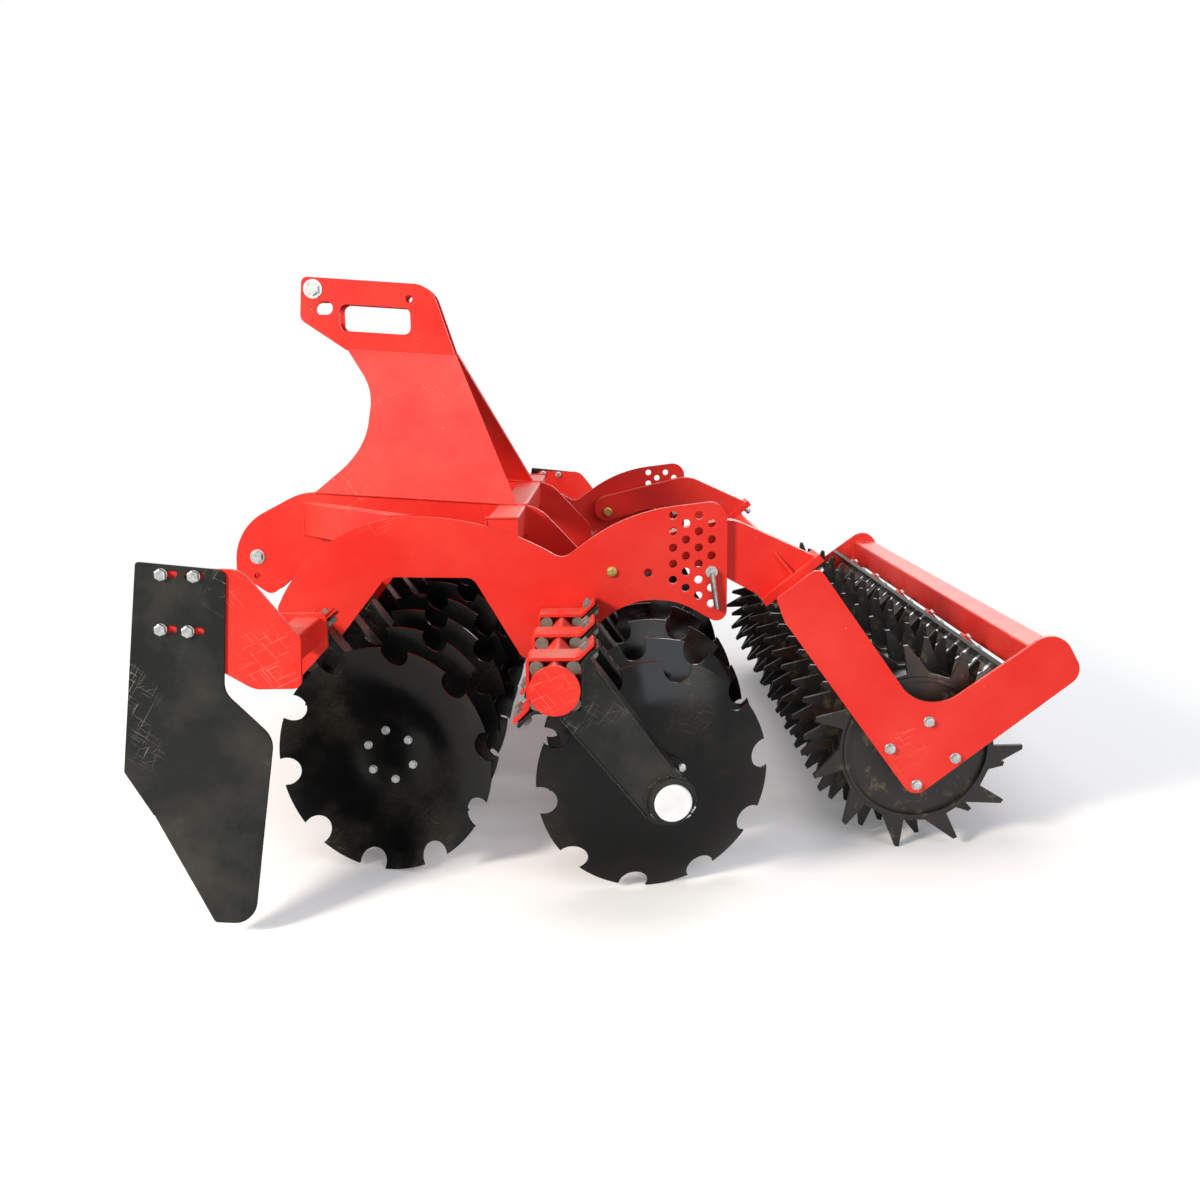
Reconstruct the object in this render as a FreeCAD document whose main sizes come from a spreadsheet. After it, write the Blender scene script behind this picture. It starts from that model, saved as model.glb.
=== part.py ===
import FreeCAD, Part
import math
import os

Vector = FreeCAD.Vector
Rotation = FreeCAD.Rotation
Placement = FreeCAD.Placement

xAxis = Vector(1, 0, 0)
yAxis = Vector(0, 1, 0)
zAxis = Vector(0, 0, 1)

# Mounted disc harrow. +X points the way it travels, +Y to its left, +Z up, and the ground is Z = 0.
# Two rows of notched discs hang on rubber-sprung arms from two square tubes. Four tall plates join
# the tubes, the inner pair carries the hitch mast, and a toothed roller trails on two pinned arms.

doc = FreeCAD.newDocument("discHarrow")
sheet = doc.addObject("Spreadsheet::Sheet", "sizes")

settings = [
    # rows of discs
    ("discsPerRow", 10),
    ("discPitch", 250),
    ("firstArmY", 1000),
    ("rowShift", 375),
    ("rearBeamX", 163),
    ("rowGap", 718),
    ("beamHeight", 588),
    ("beamSide", 90),
    ("beamWall", 8),
    ("beamCorner", 10),
    ("capOverhang", 83),
    ("bracketOverhang", 60),
    ("capDiameter", 121),
    ("capThickness", 8),
    # discs and hubs
    ("discDiameter", 610),
    ("discThickness", 6),
    ("discDepth", 52),
    ("discFlat", 180),
    ("discAngle", 13),
    ("discLean", 3),
    ("frontDiscTurn", 10.7),
    ("rearDiscTurn", 7.6),
    ("discTurnStep", 7),
    ("discTurnRange", 21.6),
    ("notchCount", 10),
    ("notchDiameter", 76),
    ("notchCircle", 590),
    ("rimOffset", 123),
    ("hubFlangeDiameter", 160),
    ("hubFlangeThickness", 8),
    ("hubBoltCircle", 137),
    ("hubBoltHole", 13),
    ("hubBoltCount", 6),
    ("journalDiameter", 58),
    ("runningGap", 0.05),
    ("seatGap", 0.3),
    ("moveGap", 5.5),
    ("housingDiameter", 118),
    ("housingInner", 39),
    ("housingOuter", 46),
    ("hubCapDiameter", 93),
    ("hubCapThickness", 12),
    # arms and clamps
    ("armReach", 269),
    ("armWidth", 60),
    ("armEndRadius", 58),
    ("clampWidth", 90),
    ("clampSide", 138),
    ("clampWall", 8),
    ("clampFlange", 38),
    ("clampGap", 3),
    ("clampBend", 25),
    # frame plates
    ("plateThickness", 15),
    ("sidePlateY", 812.5),
    ("innerPlateY", 437.5),
    ("cheekSpacing", 70),
    ("mastThickness", 12),
    ("mastGap", 68),
    ("mastBendHeight", 1405),
    ("mastFootHeight", 959),
    ("mastFootSlope", 3.9),
    ("spareTopHole", 20),
    ("liftingHole", 25),
    ("spareLowerHole", 20),
    ("tieHeight", 170),
    ("tieTilt", 19),
    ("crossTubeX", 336),
    ("crossTubeHeight", 870),
    ("crossTubeSide", 90),
    ("crossTubeWall", 6),
    ("crossTubeCorner", 8),
    ("braceCentre", 875),
    ("braceHeight", 102),
    ("braceWidth", 70),
    # hitch
    ("topPinDiameter", 25.4),
    ("topPinHead", 70),
    ("topPinHeight", 1619),
    ("topPinAhead", 152),
    ("lowerPinDiameter", 28),
    ("lowerPinHead", 48),
    ("lowerPinHeight", 755),
    ("lowerPinAhead", 275),
    ("pinHeadThickness", 10),
    ("cheekSpacer", 60),
    # soil deflectors
    ("deflectorFaceY", 1466),
    ("deflectorThickness", 6),
    ("deflectorBend", 12),
    ("slotLength", 45),
    ("slotHeight", 18),
    ("slotBolt", 16),
    ("bracketThickness", 10),
    ("bracketTubeSide", 70),
    # roller
    ("rollerAxisX", -819),
    ("rollerTipDiameter", 588),
    ("rollerRootDiameter", 428),
    ("drumDiameter", 406),
    ("drumWall", 8),
    ("drumEndWall", 12),
    ("drumEndGap", 36),
    ("drumRecess", 14),
    ("ringCount", 22),
    ("ringThickness", 12),
    ("ringSpan", 2020),
    ("toothCount", 11),
    ("toothTip", 12),
    ("toothSlope", 34),
    ("rollerShaftDiameter", 60),
    ("bearingFlange", 175),
    ("bearingFlangeThickness", 14),
    ("bearingBossDiameter", 120),
    ("bearingBossLength", 28),
    ("bearingTurn", 36),
    # roller frame
    ("pivotX", 22),
    ("pivotHeight", 760),
    ("pivotDiameter", 25),
    ("pivotHead", 30),
    ("pivotHeadThickness", 10),
    ("pivotNut", 38),
    ("pivotNutLength", 18),
    ("armSideGap", 8),
    ("rollerArmY", 767.5),
    ("rollerArmWidth", 60),
    ("rollerPlateY", 1064),
    ("rollerPlateThickness", 12),
    ("rollerBeamSide", 100),
    ("rollerBeamWall", 8),
    ("flangeThickness", 12),
    ("flangeWidth", 110),
    ("rearBarX", -1113),
    ("rearBarTop", 579),
    ("rearBarSide", 90),
    ("rearBarWall", 6),
    ("scraperAngle", 136.5),
    ("scraperBarWidth", 80),
    ("scraperBarThickness", 12),
    ("scraperBarRadius", 310),
    ("scraperWidth", 60),
    ("scraperThickness", 8),
    ("scraperTop", 14),
    ("clipCount", 5),
    ("clipPitch", 362),
    ("clipWidth", 40),
    ("clipThickness", 10),
    # grid of depth holes
    ("gridX", -154),
    ("gridHeight", 921),
    ("gridStepX", 36.7),
    ("gridStepZ", 46.5),
    ("gridHole", 24),
    ("depthPinColumn", 3),
    ("depthPinRow", 3),
    ("depthHandle", 106),
    ("depthHandleDiameter", 18),
    ("depthHandleTilt", 9),
    ("depthHandleOut", 15),
    ("depthCollar", 34),
    ("depthCollarThickness", 5),
]
for row, (alias, value) in enumerate(settings, start=1):
    sheet.set("A%d" % row, alias)
    sheet.set("B%d" % row, str(value))
    sheet.setAlias("B%d" % row, alias)
doc.recompute()
size = {alias: float(sheet.get(alias)) for alias, value in settings}


# Helpers

def bind(thing, rules):
    """Bind properties of a document object to cells of the sheet."""
    for path, rule in rules.items():
        thing.setExpression(path, rule)


def newBody(name):
    return doc.addObject("PartDesign::Body", name)


def originFeature(body, role):
    return [item for item in body.Origin.OriginFeatures if item.Role == role][0]


def roundedEdges(corners):
    """Lines and arcs of a closed outline given as (x, y, radius) corners."""
    count = len(corners)
    points = [Vector(corner[0], corner[1], 0) for corner in corners]
    toBack = [(points[index - 1] - points[index]).normalize() for index in range(count)]
    toNext = [(points[(index + 1) % count] - points[index]).normalize() for index in range(count)]
    halfBend = [toBack[index].getAngle(toNext[index]) / 2 for index in range(count)]
    reach = [corners[index][2] / math.tan(halfBend[index]) for index in range(count)]
    share = [1.0] * count
    for index in range(count):
        after = (index + 1) % count
        length = (points[after] - points[index]).Length * 0.999
        wanted = reach[index] + reach[after]
        if wanted > length:
            share[index] = min(share[index], length / wanted)
            share[after] = min(share[after], length / wanted)
    ends = []
    for index in range(count):
        corner = points[index]
        tangent = reach[index] * share[index]
        if tangent < 0.01:
            ends.append((corner, None, corner))
            continue
        radius = tangent * math.tan(halfBend[index])
        inward = (toBack[index] + toNext[index]).normalize()
        middle = corner + inward * (radius / math.sin(halfBend[index]) - radius)
        ends.append((corner + toBack[index] * tangent, middle, corner + toNext[index] * tangent))
    edges = []
    for index in range(count):
        start, middle, finish = ends[index]
        if middle is not None:
            edges.append(Part.Arc(start, middle, finish))
        after = ends[(index + 1) % count][0]
        if (after - finish).Length > 0.01:
            edges.append(Part.LineSegment(finish, after))
    return edges


def circle(x, y, radius):
    return [Part.Circle(Vector(x, y, 0), zAxis, radius)]


def square(half, radius):
    """Square outline about the origin."""
    corners = [(half, half, radius), (-half, half, radius), (-half, -half, radius), (half, -half, radius)]
    return roundedEdges(corners)


def shifted(corners, x, z):
    return [(corner[0] + x, corner[1] + z, corner[2]) for corner in corners]


def slot(x, z, length, height):
    """Round-ended slot along X."""
    across = length / 2
    up = height / 2
    corners = [(across, up, up), (-across, up, up), (-across, -up, up), (across, -up, up)]
    return roundedEdges(shifted(corners, x, z))


def newSketch(body, name, role, loops, offset=None):
    """A sketch on an origin plane of its own body, filled with closed loops."""
    sketch = body.newObject("Sketcher::SketchObject", name)
    sketch.AttachmentSupport = (originFeature(body, role), [""])
    sketch.MapMode = "FlatFace"
    if offset is not None:
        sketch.AttachmentOffset = offset
    for edges in loops:
        for edge in edges:
            sketch.addGeometry(edge, False)
    return sketch


def pad(body, name, sketch, rule, sides="Symmetric"):
    feature = body.newObject("PartDesign::Pad", name)
    feature.Profile = sketch
    feature.SideType = sides
    feature.setExpression("Length", rule)
    body.Tip = feature
    return feature


def pocket(body, name, sketch):
    """A cut through everything, both ways from the sketch."""
    feature = body.newObject("PartDesign::Pocket", name)
    feature.Profile = sketch
    feature.SideType = "Symmetric"
    feature.Type = "ThroughAll"
    body.Tip = feature
    return feature


def revolve(body, name, loop):
    """Turn an outline on the XY plane round the body's Y axis."""
    sketch = newSketch(body, name + "Profile", "XY_Plane", [loop])
    feature = body.newObject("PartDesign::Revolution", name)
    feature.Profile = sketch
    feature.ReferenceAxis = (sketch, ["V_Axis"])
    feature.Angle = 360
    body.Tip = feature
    return feature


def around(body, name, feature, countRule):
    """Repeat a feature round the body's Y axis."""
    pattern = body.newObject("PartDesign::PolarPattern", name)
    pattern.Originals = [feature]
    pattern.Axis = (originFeature(body, "Y_Axis"), [""])
    pattern.Angle = 360
    pattern.setExpression("Occurrences", countRule)
    body.Tip = pattern
    return pattern


def makeBox(name, lengthRule, widthRule, heightRule, placement):
    box = doc.addObject("Part::Box", name)
    bind(box, {"Length": lengthRule, "Width": widthRule, "Height": heightRule})
    box.Placement = placement
    return box


alongY = Rotation(xAxis, -90)


def makeCylinder(name, radiusRule, heightRule, base, rotation=alongY):
    rod = doc.addObject("Part::Cylinder", name)
    bind(rod, {"Radius": radiusRule, "Height": heightRule})
    rod.Placement = Placement(base, rotation)
    return rod


def fuse(name, shapes):
    joined = doc.addObject("Part::MultiFuse", name)
    joined.Shapes = shapes
    return joined


def cut(name, base, tool):
    rest = doc.addObject("Part::Cut", name)
    rest.Base = base
    rest.Tool = tool
    return rest


def mirrored(name, source):
    """The same piece on the other side of the machine's centre plane."""
    copy = doc.addObject("Part::Mirroring", name)
    copy.Source = source
    copy.Normal = yAxis
    return copy


def compound(name, parts):
    whole = doc.addObject("Part::Compound", name)
    whole.Links = parts
    return whole


def linked(name, source, placement):
    link = doc.addObject("App::Link", name)
    link.LinkedObject = source
    link.Placement = placement
    return link


nodes = []


def node(name, thing):
    thing.Label = name
    nodes.append(thing)


def pairNode(name, left):
    """One node with a left piece and its mirror image."""
    node(name, compound(name + "Pair", [left, mirrored(name + "Mirror", left)]))


def makeTube(name, lengthRule, half, wall, corner, placement):
    """Square tube along Y, its length centred on its placement."""
    body = newBody(name)
    loops = [square(half, corner), square(half - wall, max(corner - wall, 2))]
    pad(body, name + "Pad", newSketch(body, name + "Section", "XZ_Plane", loops), lengthRule)
    body.Placement = placement
    return body


# Worked-out places

diagonal = math.sqrt(0.5)
rearX = size["rearBeamX"]
frontX = rearX + size["rowGap"]
beamZ = size["beamHeight"]
rowCount = int(size["discsPerRow"])
discRadius = size["discDiameter"] / 2
lean = math.radians(size["discLean"])
turn = math.radians(size["discAngle"])

# The dish is an arc tangent to a flat centre, and its edge is square to the disc's axis.
flatRadius = size["discFlat"] / 2
dishSpan = discRadius - flatRadius
dishRadius = (dishSpan ** 2 + size["discDepth"] ** 2) / (2 * size["discDepth"])
dishCentre = dishRadius - size["discDepth"]
backRadius = dishRadius + size["discThickness"]
rimBack = math.sqrt(backRadius ** 2 - dishSpan ** 2) - dishCentre
discZ = discRadius * math.cos(lean) + rimBack * math.sin(lean)

# Distances along the disc's axis, from the plane of its rim towards its convex side.
bladeBack = size["discDepth"] + size["discThickness"]
flangeStart = bladeBack + size["seatGap"]
flangeEnd = flangeStart + size["hubFlangeThickness"]
armPlane = size["rimOffset"] / (math.cos(turn) * math.cos(lean))
housingStart = armPlane - size["housingInner"]
housingEnd = armPlane + size["housingOuter"]
journalEnd = housingEnd - size["moveGap"]
hubDropX = armPlane * math.sin(turn) * math.cos(lean)
hubZ = discZ - armPlane * math.sin(lean)

frontArmY = [size["firstArmY"] - size["discPitch"] * index for index in range(rowCount)]
rearArmY = [armY + size["rowShift"] for armY in frontArmY]


# Discs

def makeBlade():
    body = newBody("blade")
    tiltIn = math.asin(dishSpan / dishRadius) / 2
    tiltOut = math.asin(dishSpan / backRadius) / 2
    frontRim = Vector(discRadius, 0, 0)
    backRim = Vector(discRadius, -rimBack, 0)
    frontFlat = Vector(flatRadius, -size["discDepth"], 0)
    backFlat = Vector(flatRadius, -bladeBack, 0)
    frontAxis = Vector(0, -size["discDepth"], 0)
    backAxis = Vector(0, -bladeBack, 0)
    centre = Vector(flatRadius, dishCentre, 0)
    frontMiddle = centre + Vector(math.sin(tiltIn), -math.cos(tiltIn), 0) * dishRadius
    backMiddle = centre + Vector(math.sin(tiltOut), -math.cos(tiltOut), 0) * backRadius
    profile = [
        Part.LineSegment(backAxis, backFlat),
        Part.Arc(backFlat, backMiddle, backRim),
        Part.LineSegment(backRim, frontRim),
        Part.Arc(frontRim, frontMiddle, frontFlat),
        Part.LineSegment(frontFlat, frontAxis),
        Part.LineSegment(frontAxis, backAxis),
    ]
    revolve(body, "dish", profile)
    # A tooth, not a notch, is at the bottom, so that the disc stands on its rim.
    swing = -math.pi / 2 + math.pi / size["notchCount"]
    place = size["notchCircle"] / 2
    notchLoop = circle(place * math.cos(swing), place * math.sin(swing), size["notchDiameter"] / 2)
    notch = pocket(body, "notch", newSketch(body, "notchProfile", "XZ_Plane", [notchLoop]))
    around(body, "notches", notch, "sizes.notchCount")
    holeLoop = circle(0, size["hubBoltCircle"] / 2, size["hubBoltHole"] / 2)
    hole = pocket(body, "boltHole", newSketch(body, "boltHoleProfile", "XZ_Plane", [holeLoop]))
    around(body, "boltHoles", hole, "sizes.hubBoltCount")
    return body


def makeHub():
    """Flange behind the blade, and the journal that turns in the arm's housing."""
    body = newBody("hub")
    flange = size["hubFlangeDiameter"] / 2
    journal = size["journalDiameter"] / 2
    steps = [(0, -flangeStart, 0), (flange, -flangeStart, 0), (flange, -flangeEnd, 0)]
    steps += [(journal, -flangeEnd, 0), (journal, -journalEnd, 0), (0, -journalEnd, 0)]
    revolve(body, "hubTurned", roundedEdges(steps))
    holeLoop = circle(0, size["hubBoltCircle"] / 2, size["hubBoltHole"] / 2)
    hole = pocket(body, "flangeHole", newSketch(body, "flangeHoleProfile", "XZ_Plane", [holeLoop]))
    around(body, "flangeHoles", hole, "sizes.hubBoltCount")
    return body


discMaster = compound("discMaster", [makeBlade(), makeHub()])


def restTurn(first, index):
    """How far a disc has rolled from tooth-down, kept small enough to stand on that tooth."""
    rolled = first + size["discTurnStep"] * index
    return (rolled + size["discTurnRange"] / 2) % size["discTurnRange"] - size["discTurnRange"] / 2


# Front discs turn their hollow side left and ahead, rear discs right and ahead.
frontFacing = Rotation(zAxis, -size["discAngle"]).multiply(Rotation(xAxis, size["discLean"]))
rearFacing = Rotation(zAxis, 180 + size["discAngle"]).multiply(Rotation(xAxis, size["discLean"]))
for index in range(rowCount):
    rolled = Rotation(yAxis, restTurn(size["frontDiscTurn"], index))
    base = Vector(frontX - size["armReach"] + hubDropX, frontArmY[index] + size["rimOffset"], discZ)
    placement = Placement(base, frontFacing.multiply(rolled))
    node("disc_front_%02d" % (index + 1), linked("frontDisc%d" % index, discMaster, placement))
for index in range(rowCount):
    rolled = Rotation(yAxis, -restTurn(size["rearDiscTurn"], index))
    base = Vector(rearX - size["armReach"] + hubDropX, rearArmY[index] - size["rimOffset"], discZ)
    placement = Placement(base, rearFacing.multiply(rolled))
    node("disc_rear_%02d" % (index + 1), linked("rearDisc%d" % index, discMaster, placement))

# Beams: the same tube twice, the rear one turned end for end

beamRule = "(sizes.discsPerRow - 1) * sizes.discPitch + sizes.capOverhang + sizes.bracketOverhang"
frontEnds = (frontArmY[-1] - size["capOverhang"], frontArmY[0] + size["bracketOverhang"])
rearEnds = (rearArmY[-1] - size["bracketOverhang"], rearArmY[0] + size["capOverhang"])
beamHalf = size["beamSide"] / 2
edgeUp = Rotation(yAxis, 45)


def makeBeam(name, x, ends):
    middle = Vector(x, (ends[0] + ends[1]) / 2, beamZ)
    placement = Placement(middle, edgeUp)
    return makeTube(name, beamRule, beamHalf, size["beamWall"], size["beamCorner"], placement)


node("front_beam", makeBeam("frontBeam", frontX, frontEnds))
node("rear_beam", makeBeam("rearBeam", rearX, rearEnds))

capRule = "sizes.capDiameter / 2"
frontCapBase = Vector(frontX, frontEnds[0] - size["capThickness"], beamZ)
rearCapBase = Vector(rearX, rearEnds[1], beamZ)
node("beam_end_caps", compound("endCaps", [
    makeCylinder("frontCap", capRule, "sizes.capThickness", frontCapBase),
    makeCylinder("rearCap", capRule, "sizes.capThickness", rearCapBase),
]))

# Clamps, arms and rubbers, all made about the beam's centre

clampHalf = size["clampSide"] / 2
insideHalf = clampHalf - size["clampWall"]
flangeTip = clampHalf / diagonal + size["clampFlange"]


def splitPoint(along, across, radius):
    """A corner by its distance along the clamp's split line, which rises to the rear, and across it."""
    return (diagonal * (across - along), diagonal * (across + along), radius)


def clampOutline(side):
    """Angle plate over the tube's top and front (side 1) or its bottom and rear (side -1)."""
    near = size["clampGap"]
    far = near + size["clampWall"]
    inner = insideHalf / diagonal - near
    outer = clampHalf / diagonal - far
    outerBend = size["clampBend"]
    innerBend = outerBend - size["clampWall"]
    corners = [
        splitPoint(inner, side * near, innerBend),
        splitPoint(flangeTip, side * near, 2),
        splitPoint(flangeTip, side * far, 2),
        splitPoint(outer, side * far, outerBend),
        (side * clampHalf, side * clampHalf, 14),
        splitPoint(-outer, side * far, outerBend),
        splitPoint(-flangeTip, side * far, 2),
        splitPoint(-flangeTip, side * near, 2),
        splitPoint(-inner, side * near, innerBend),
        (side * insideHalf, side * insideHalf, 6),
    ]
    return roundedEdges(corners)


def makeClampCover():
    body = newBody("clampCover")
    sketch = newSketch(body, "clampCoverSection", "XZ_Plane", [clampOutline(1)])
    pad(body, "clampCoverPlate", sketch, "sizes.clampWidth")
    return body


def makeArm():
    """Saddle under the tube, box arm down to the rear and the bearing housing at its end."""
    body = newBody("frontArm")
    sketch = newSketch(body, "saddleSection", "XZ_Plane", [clampOutline(-1)])
    pad(body, "saddle", sketch, "sizes.clampWidth")
    hub = Vector(-size["armReach"], hubZ - beamZ, 0)
    end = size["armEndRadius"]
    seat = (insideHalf + clampHalf) / 2
    outline = [
        (-seat, seat - 7, 0),
        (-clampHalf - 14, clampHalf - 8, 6),
        (hub.x - 77, hub.y - 17, end),
        (hub.x + 17, hub.y - 89, end),
        (6, -seat, 0),
        (-seat, -seat, 0),
    ]
    sketch = newSketch(body, "armProfile", "XZ_Plane", [roundedEdges(outline)])
    pad(body, "armBox", sketch, "sizes.armWidth")
    # In the sketch plane's own directions: X, up, and to the right.
    axis = Vector(-math.sin(turn) * math.cos(lean), -math.sin(lean), math.cos(turn) * math.cos(lean))
    square = Rotation(zAxis, axis)
    start = Placement(hub + axis * (housingStart - armPlane), square)
    loop = circle(0, 0, size["housingDiameter"] / 2)
    sketch = newSketch(body, "housingEnd", "XZ_Plane", [loop], start)
    pad(body, "housing", sketch, "sizes.housingInner + sizes.housingOuter", "One side")
    loop = circle(0, 0, size["journalDiameter"] / 2 + size["runningGap"])
    pocket(body, "bore", newSketch(body, "boreMiddle", "XZ_Plane", [loop], Placement(hub, square)))
    return body


cordRadius = (insideHalf / diagonal - beamHalf) / (1 + 1 / diagonal) - size["seatGap"]
cordPlace = (beamHalf + size["seatGap"] + cordRadius) * diagonal


def makeRubbers():
    """Four cords, one in each corner between the clamp and the turned tube."""
    cords = []
    for index, (signX, signZ) in enumerate(((1, 1), (1, -1), (-1, -1), (-1, 1))):
        base = Vector(signX * cordPlace, -size["clampWidth"] / 2, signZ * cordPlace)
        cords.append(makeCylinder("cord%d" % index, "%.4f mm" % cordRadius, "sizes.clampWidth", base))
    return compound("rubberSet", cords)


def makeHubCap():
    """Shallow cap on the outer end of a front bearing housing."""
    body = newBody("hubCap")
    radius = size["hubCapDiameter"] / 2
    thick = size["hubCapThickness"]
    revolve(body, "capTurned", roundedEdges([(0, 0, 0), (radius, 0, 0), (radius, thick, 5), (0, thick, 0)]))
    axis = Vector(-math.sin(turn) * math.cos(lean), -math.cos(turn) * math.cos(lean), -math.sin(lean))
    base = Vector(-size["armReach"], 0, hubZ - beamZ) + axis * (housingEnd - armPlane)
    body.Placement = Placement(base, Rotation(yAxis, axis))
    return compound("frontHubCap", [body])


coverMaster = makeClampCover()
rubberMaster = makeRubbers()
frontArm = makeArm()
frontHubCap = makeHubCap()
rowMasters = {
    "front": (frontX, frontArmY, frontArm, frontHubCap),
    "rear": (rearX, rearArmY, mirrored("rearArm", frontArm), mirrored("rearHubCap", frontHubCap)),
}
rowKinds = {"clamp_covers": [], "disc_arms": [], "suspension_rubbers": [], "hub_caps": []}
for rowName, (beamX, places, armMaster, capMaster) in rowMasters.items():
    masters = dict(zip(rowKinds, (coverMaster, armMaster, rubberMaster, capMaster)))
    for index, armY in enumerate(places):
        spot = Placement(Vector(beamX, armY, beamZ), Rotation())
        for kind, master in masters.items():
            rowKinds[kind].append(linked("%s_%s%d" % (rowName, kind, index), master, spot))
for kind, copies in rowKinds.items():
    node(kind, compound(kind + "Rows", copies))

# Frame plates

tubeReach = beamHalf / diagonal


def roundBeam(x, rearDrop, frontDrop):
    """Part of a lower edge that goes up round a beam, with how far below its centre each side ends."""
    corner = size["beamCorner"]
    return [
        (x - tubeReach + rearDrop, beamZ - rearDrop, 0),
        (x - tubeReach, beamZ, corner),
        (x, beamZ + tubeReach, corner),
        (x + tubeReach, beamZ, corner),
        (x + tubeReach - frontDrop, beamZ - frontDrop, 0),
    ]


# The lower edge is the same on all four plates: round both beams, with a flat arch between them.
lowerEdge = [(rearX - 87, beamZ + 8, 30), (rearX - 43, beamZ - 48, 15)]
lowerEdge += roundBeam(rearX, 48, 48)
lowerEdge += [
    (rearX + 42, beamZ - 50, 10),
    (rearX + 100, beamZ - 83, 14),
    (rearX + 120, beamZ - 83, 35),
    (rearX + 258, beamZ + 157, 35),
    (frontX - 209, beamZ + 161, 40),
    (frontX - 45, beamZ - 47, 55),
]
lowerEdge += roundBeam(frontX, 47, 58)
lowerEdge += [(frontX + 57, beamZ - 68, 25)]

pivotX = size["pivotX"]
pivotZ = size["pivotHeight"]
pivotHole = size["pivotDiameter"] / 2 + size["runningGap"]
gridColumns = (5, 5, 6, 6)


def gridPlace(column, line):
    """Centre of a depth hole. Odd columns stand half a step lower."""
    drop = line + (0.5 if column % 2 else 0)
    return (size["gridX"] - column * size["gridStepX"], size["gridHeight"] - drop * size["gridStepZ"])


def makeSidePlate():
    body = newBody("sidePlate")
    outline = [
        (frontX - 15, beamZ + 334, 430),
        (rearX + 212, beamZ + 334, 780),
        (rearX, beamZ + 209, 40),
        (rearX - 181, beamZ + 342, 520),
        (size["gridX"] - 154, size["gridHeight"] + 44, 50),
        (size["gridX"] - 156, size["gridHeight"] - 329, 30),
        (rearX - 247, beamZ + 137, 225),
    ]
    outline += lowerEdge
    outline += [(frontX + 109, beamZ + 70, 25)]
    loops = [roundedEdges(outline)]
    loops += [circle(pivotX, pivotZ, pivotHole), circle(pivotX - 104, pivotZ - 4, pivotHole)]
    for column, lines in enumerate(gridColumns):
        for line in range(lines):
            loops.append(circle(*gridPlace(column, line), size["gridHole"] / 2))
    pad(body, "sidePlatePad", newSketch(body, "sidePlateProfile", "XZ_Plane", loops), "sizes.plateThickness")
    bind(body, {"Placement.Base.y": "sizes.sidePlateY"})
    return body


pairNode("side_plates", makeSidePlate())

# The inner plates reach ahead to the lower link pins, and their sloping top edge carries the mast.
lowerPinX = frontX + size["lowerPinAhead"]
lowerPinZ = size["lowerPinHeight"]
lowerPinHole = size["lowerPinDiameter"] / 2 + size["runningGap"]
footSlope = math.radians(size["mastFootSlope"])
footFrontX = frontX + 70
footRearX = rearX + 154


def topEdge(x):
    """Height of the inner plates' top edge."""
    return size["mastFootHeight"] - (footFrontX - x) * math.tan(footSlope)


lugFront = [(lowerPinX + 70, lowerPinZ - 50, 20), (lowerPinX + 66, lowerPinZ + 93, 180)]
lugBack = [(lowerPinX - 126, lowerPinZ - 55, 25), (lowerPinX - 38, lowerPinZ - 127, 30)]


def makeInnerPlate():
    body = newBody("innerPlate")
    outline = lugFront + [
        (footFrontX + 49, topEdge(footFrontX + 49), 170),
        (footRearX - 64, topEdge(footRearX - 64), 120),
        (rearX - 68, beamZ + 152, 50),
    ]
    outline += lowerEdge
    outline += [(frontX + 104, beamZ + 62, 40)] + lugBack
    loops = [roundedEdges(outline)]
    loops += [circle(lowerPinX, lowerPinZ, lowerPinHole), circle(lowerPinX + 4, lowerPinZ - 62, size["spareLowerHole"] / 2)]
    pad(body, "innerPlatePad", newSketch(body, "innerPlateProfile", "XZ_Plane", loops), "sizes.plateThickness")
    bind(body, {"Placement.Base.y": "sizes.innerPlateY"})
    return body


pairNode("inner_plates", makeInnerPlate())


def makeCheek():
    """Second ear beside an inner plate, so that a link ball sits between the two."""
    body = newBody("hitchCheek")
    outline = lugFront + [(lowerPinX - 150, lowerPinZ + 180, 40), (lowerPinX - 190, lowerPinZ + 60, 40)]
    outline += lugBack
    loops = [roundedEdges(outline), circle(lowerPinX, lowerPinZ, lowerPinHole)]
    pad(body, "cheekPad", newSketch(body, "cheekOutline", "XZ_Plane", loops), "sizes.plateThickness")
    bind(body, {"Placement.Base.y": "sizes.innerPlateY - sizes.cheekSpacing"})
    innerSide = size["innerPlateY"] - size["cheekSpacing"] + size["plateThickness"] / 2
    corner = Placement(Vector(lowerPinX - 170, innerSide, lowerPinZ + 70), Rotation())
    gapRule = "sizes.cheekSpacing - sizes.plateThickness"
    spacer = makeBox("cheekSpacer", "sizes.cheekSpacer", gapRule, "sizes.cheekSpacer", corner)
    return fuse("hitchCheekWelded", [body, spacer])


pairNode("lower_link_cheeks", makeCheek())

# Mast: upright at the top, then bent outwards along a line parallel to the inner plates' top edge

mastInside = size["mastGap"] / 2
mastMiddle = mastInside + size["mastThickness"] / 2
bendX = frontX - 142
bendZ = size["mastBendHeight"]
bendDrop = (bendZ - topEdge(bendX)) * math.cos(footSlope)
flare = math.atan2(size["innerPlateY"] - mastMiddle, bendDrop)
topPinX = frontX + size["topPinAhead"]
topPinZ = size["topPinHeight"]


def bendLine(x):
    return bendZ + (x - bendX) * math.tan(footSlope)


def flared(x, z, radius):
    """Corner of the flared leg in its own plane, for a point seen from the side."""
    run = (x - bendX) * math.cos(footSlope) + (z - bendZ) * math.sin(footSlope)
    drop = (z - bendZ) * math.cos(footSlope) - (x - bendX) * math.sin(footSlope)
    return (run, drop / math.cos(flare), radius)


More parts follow.
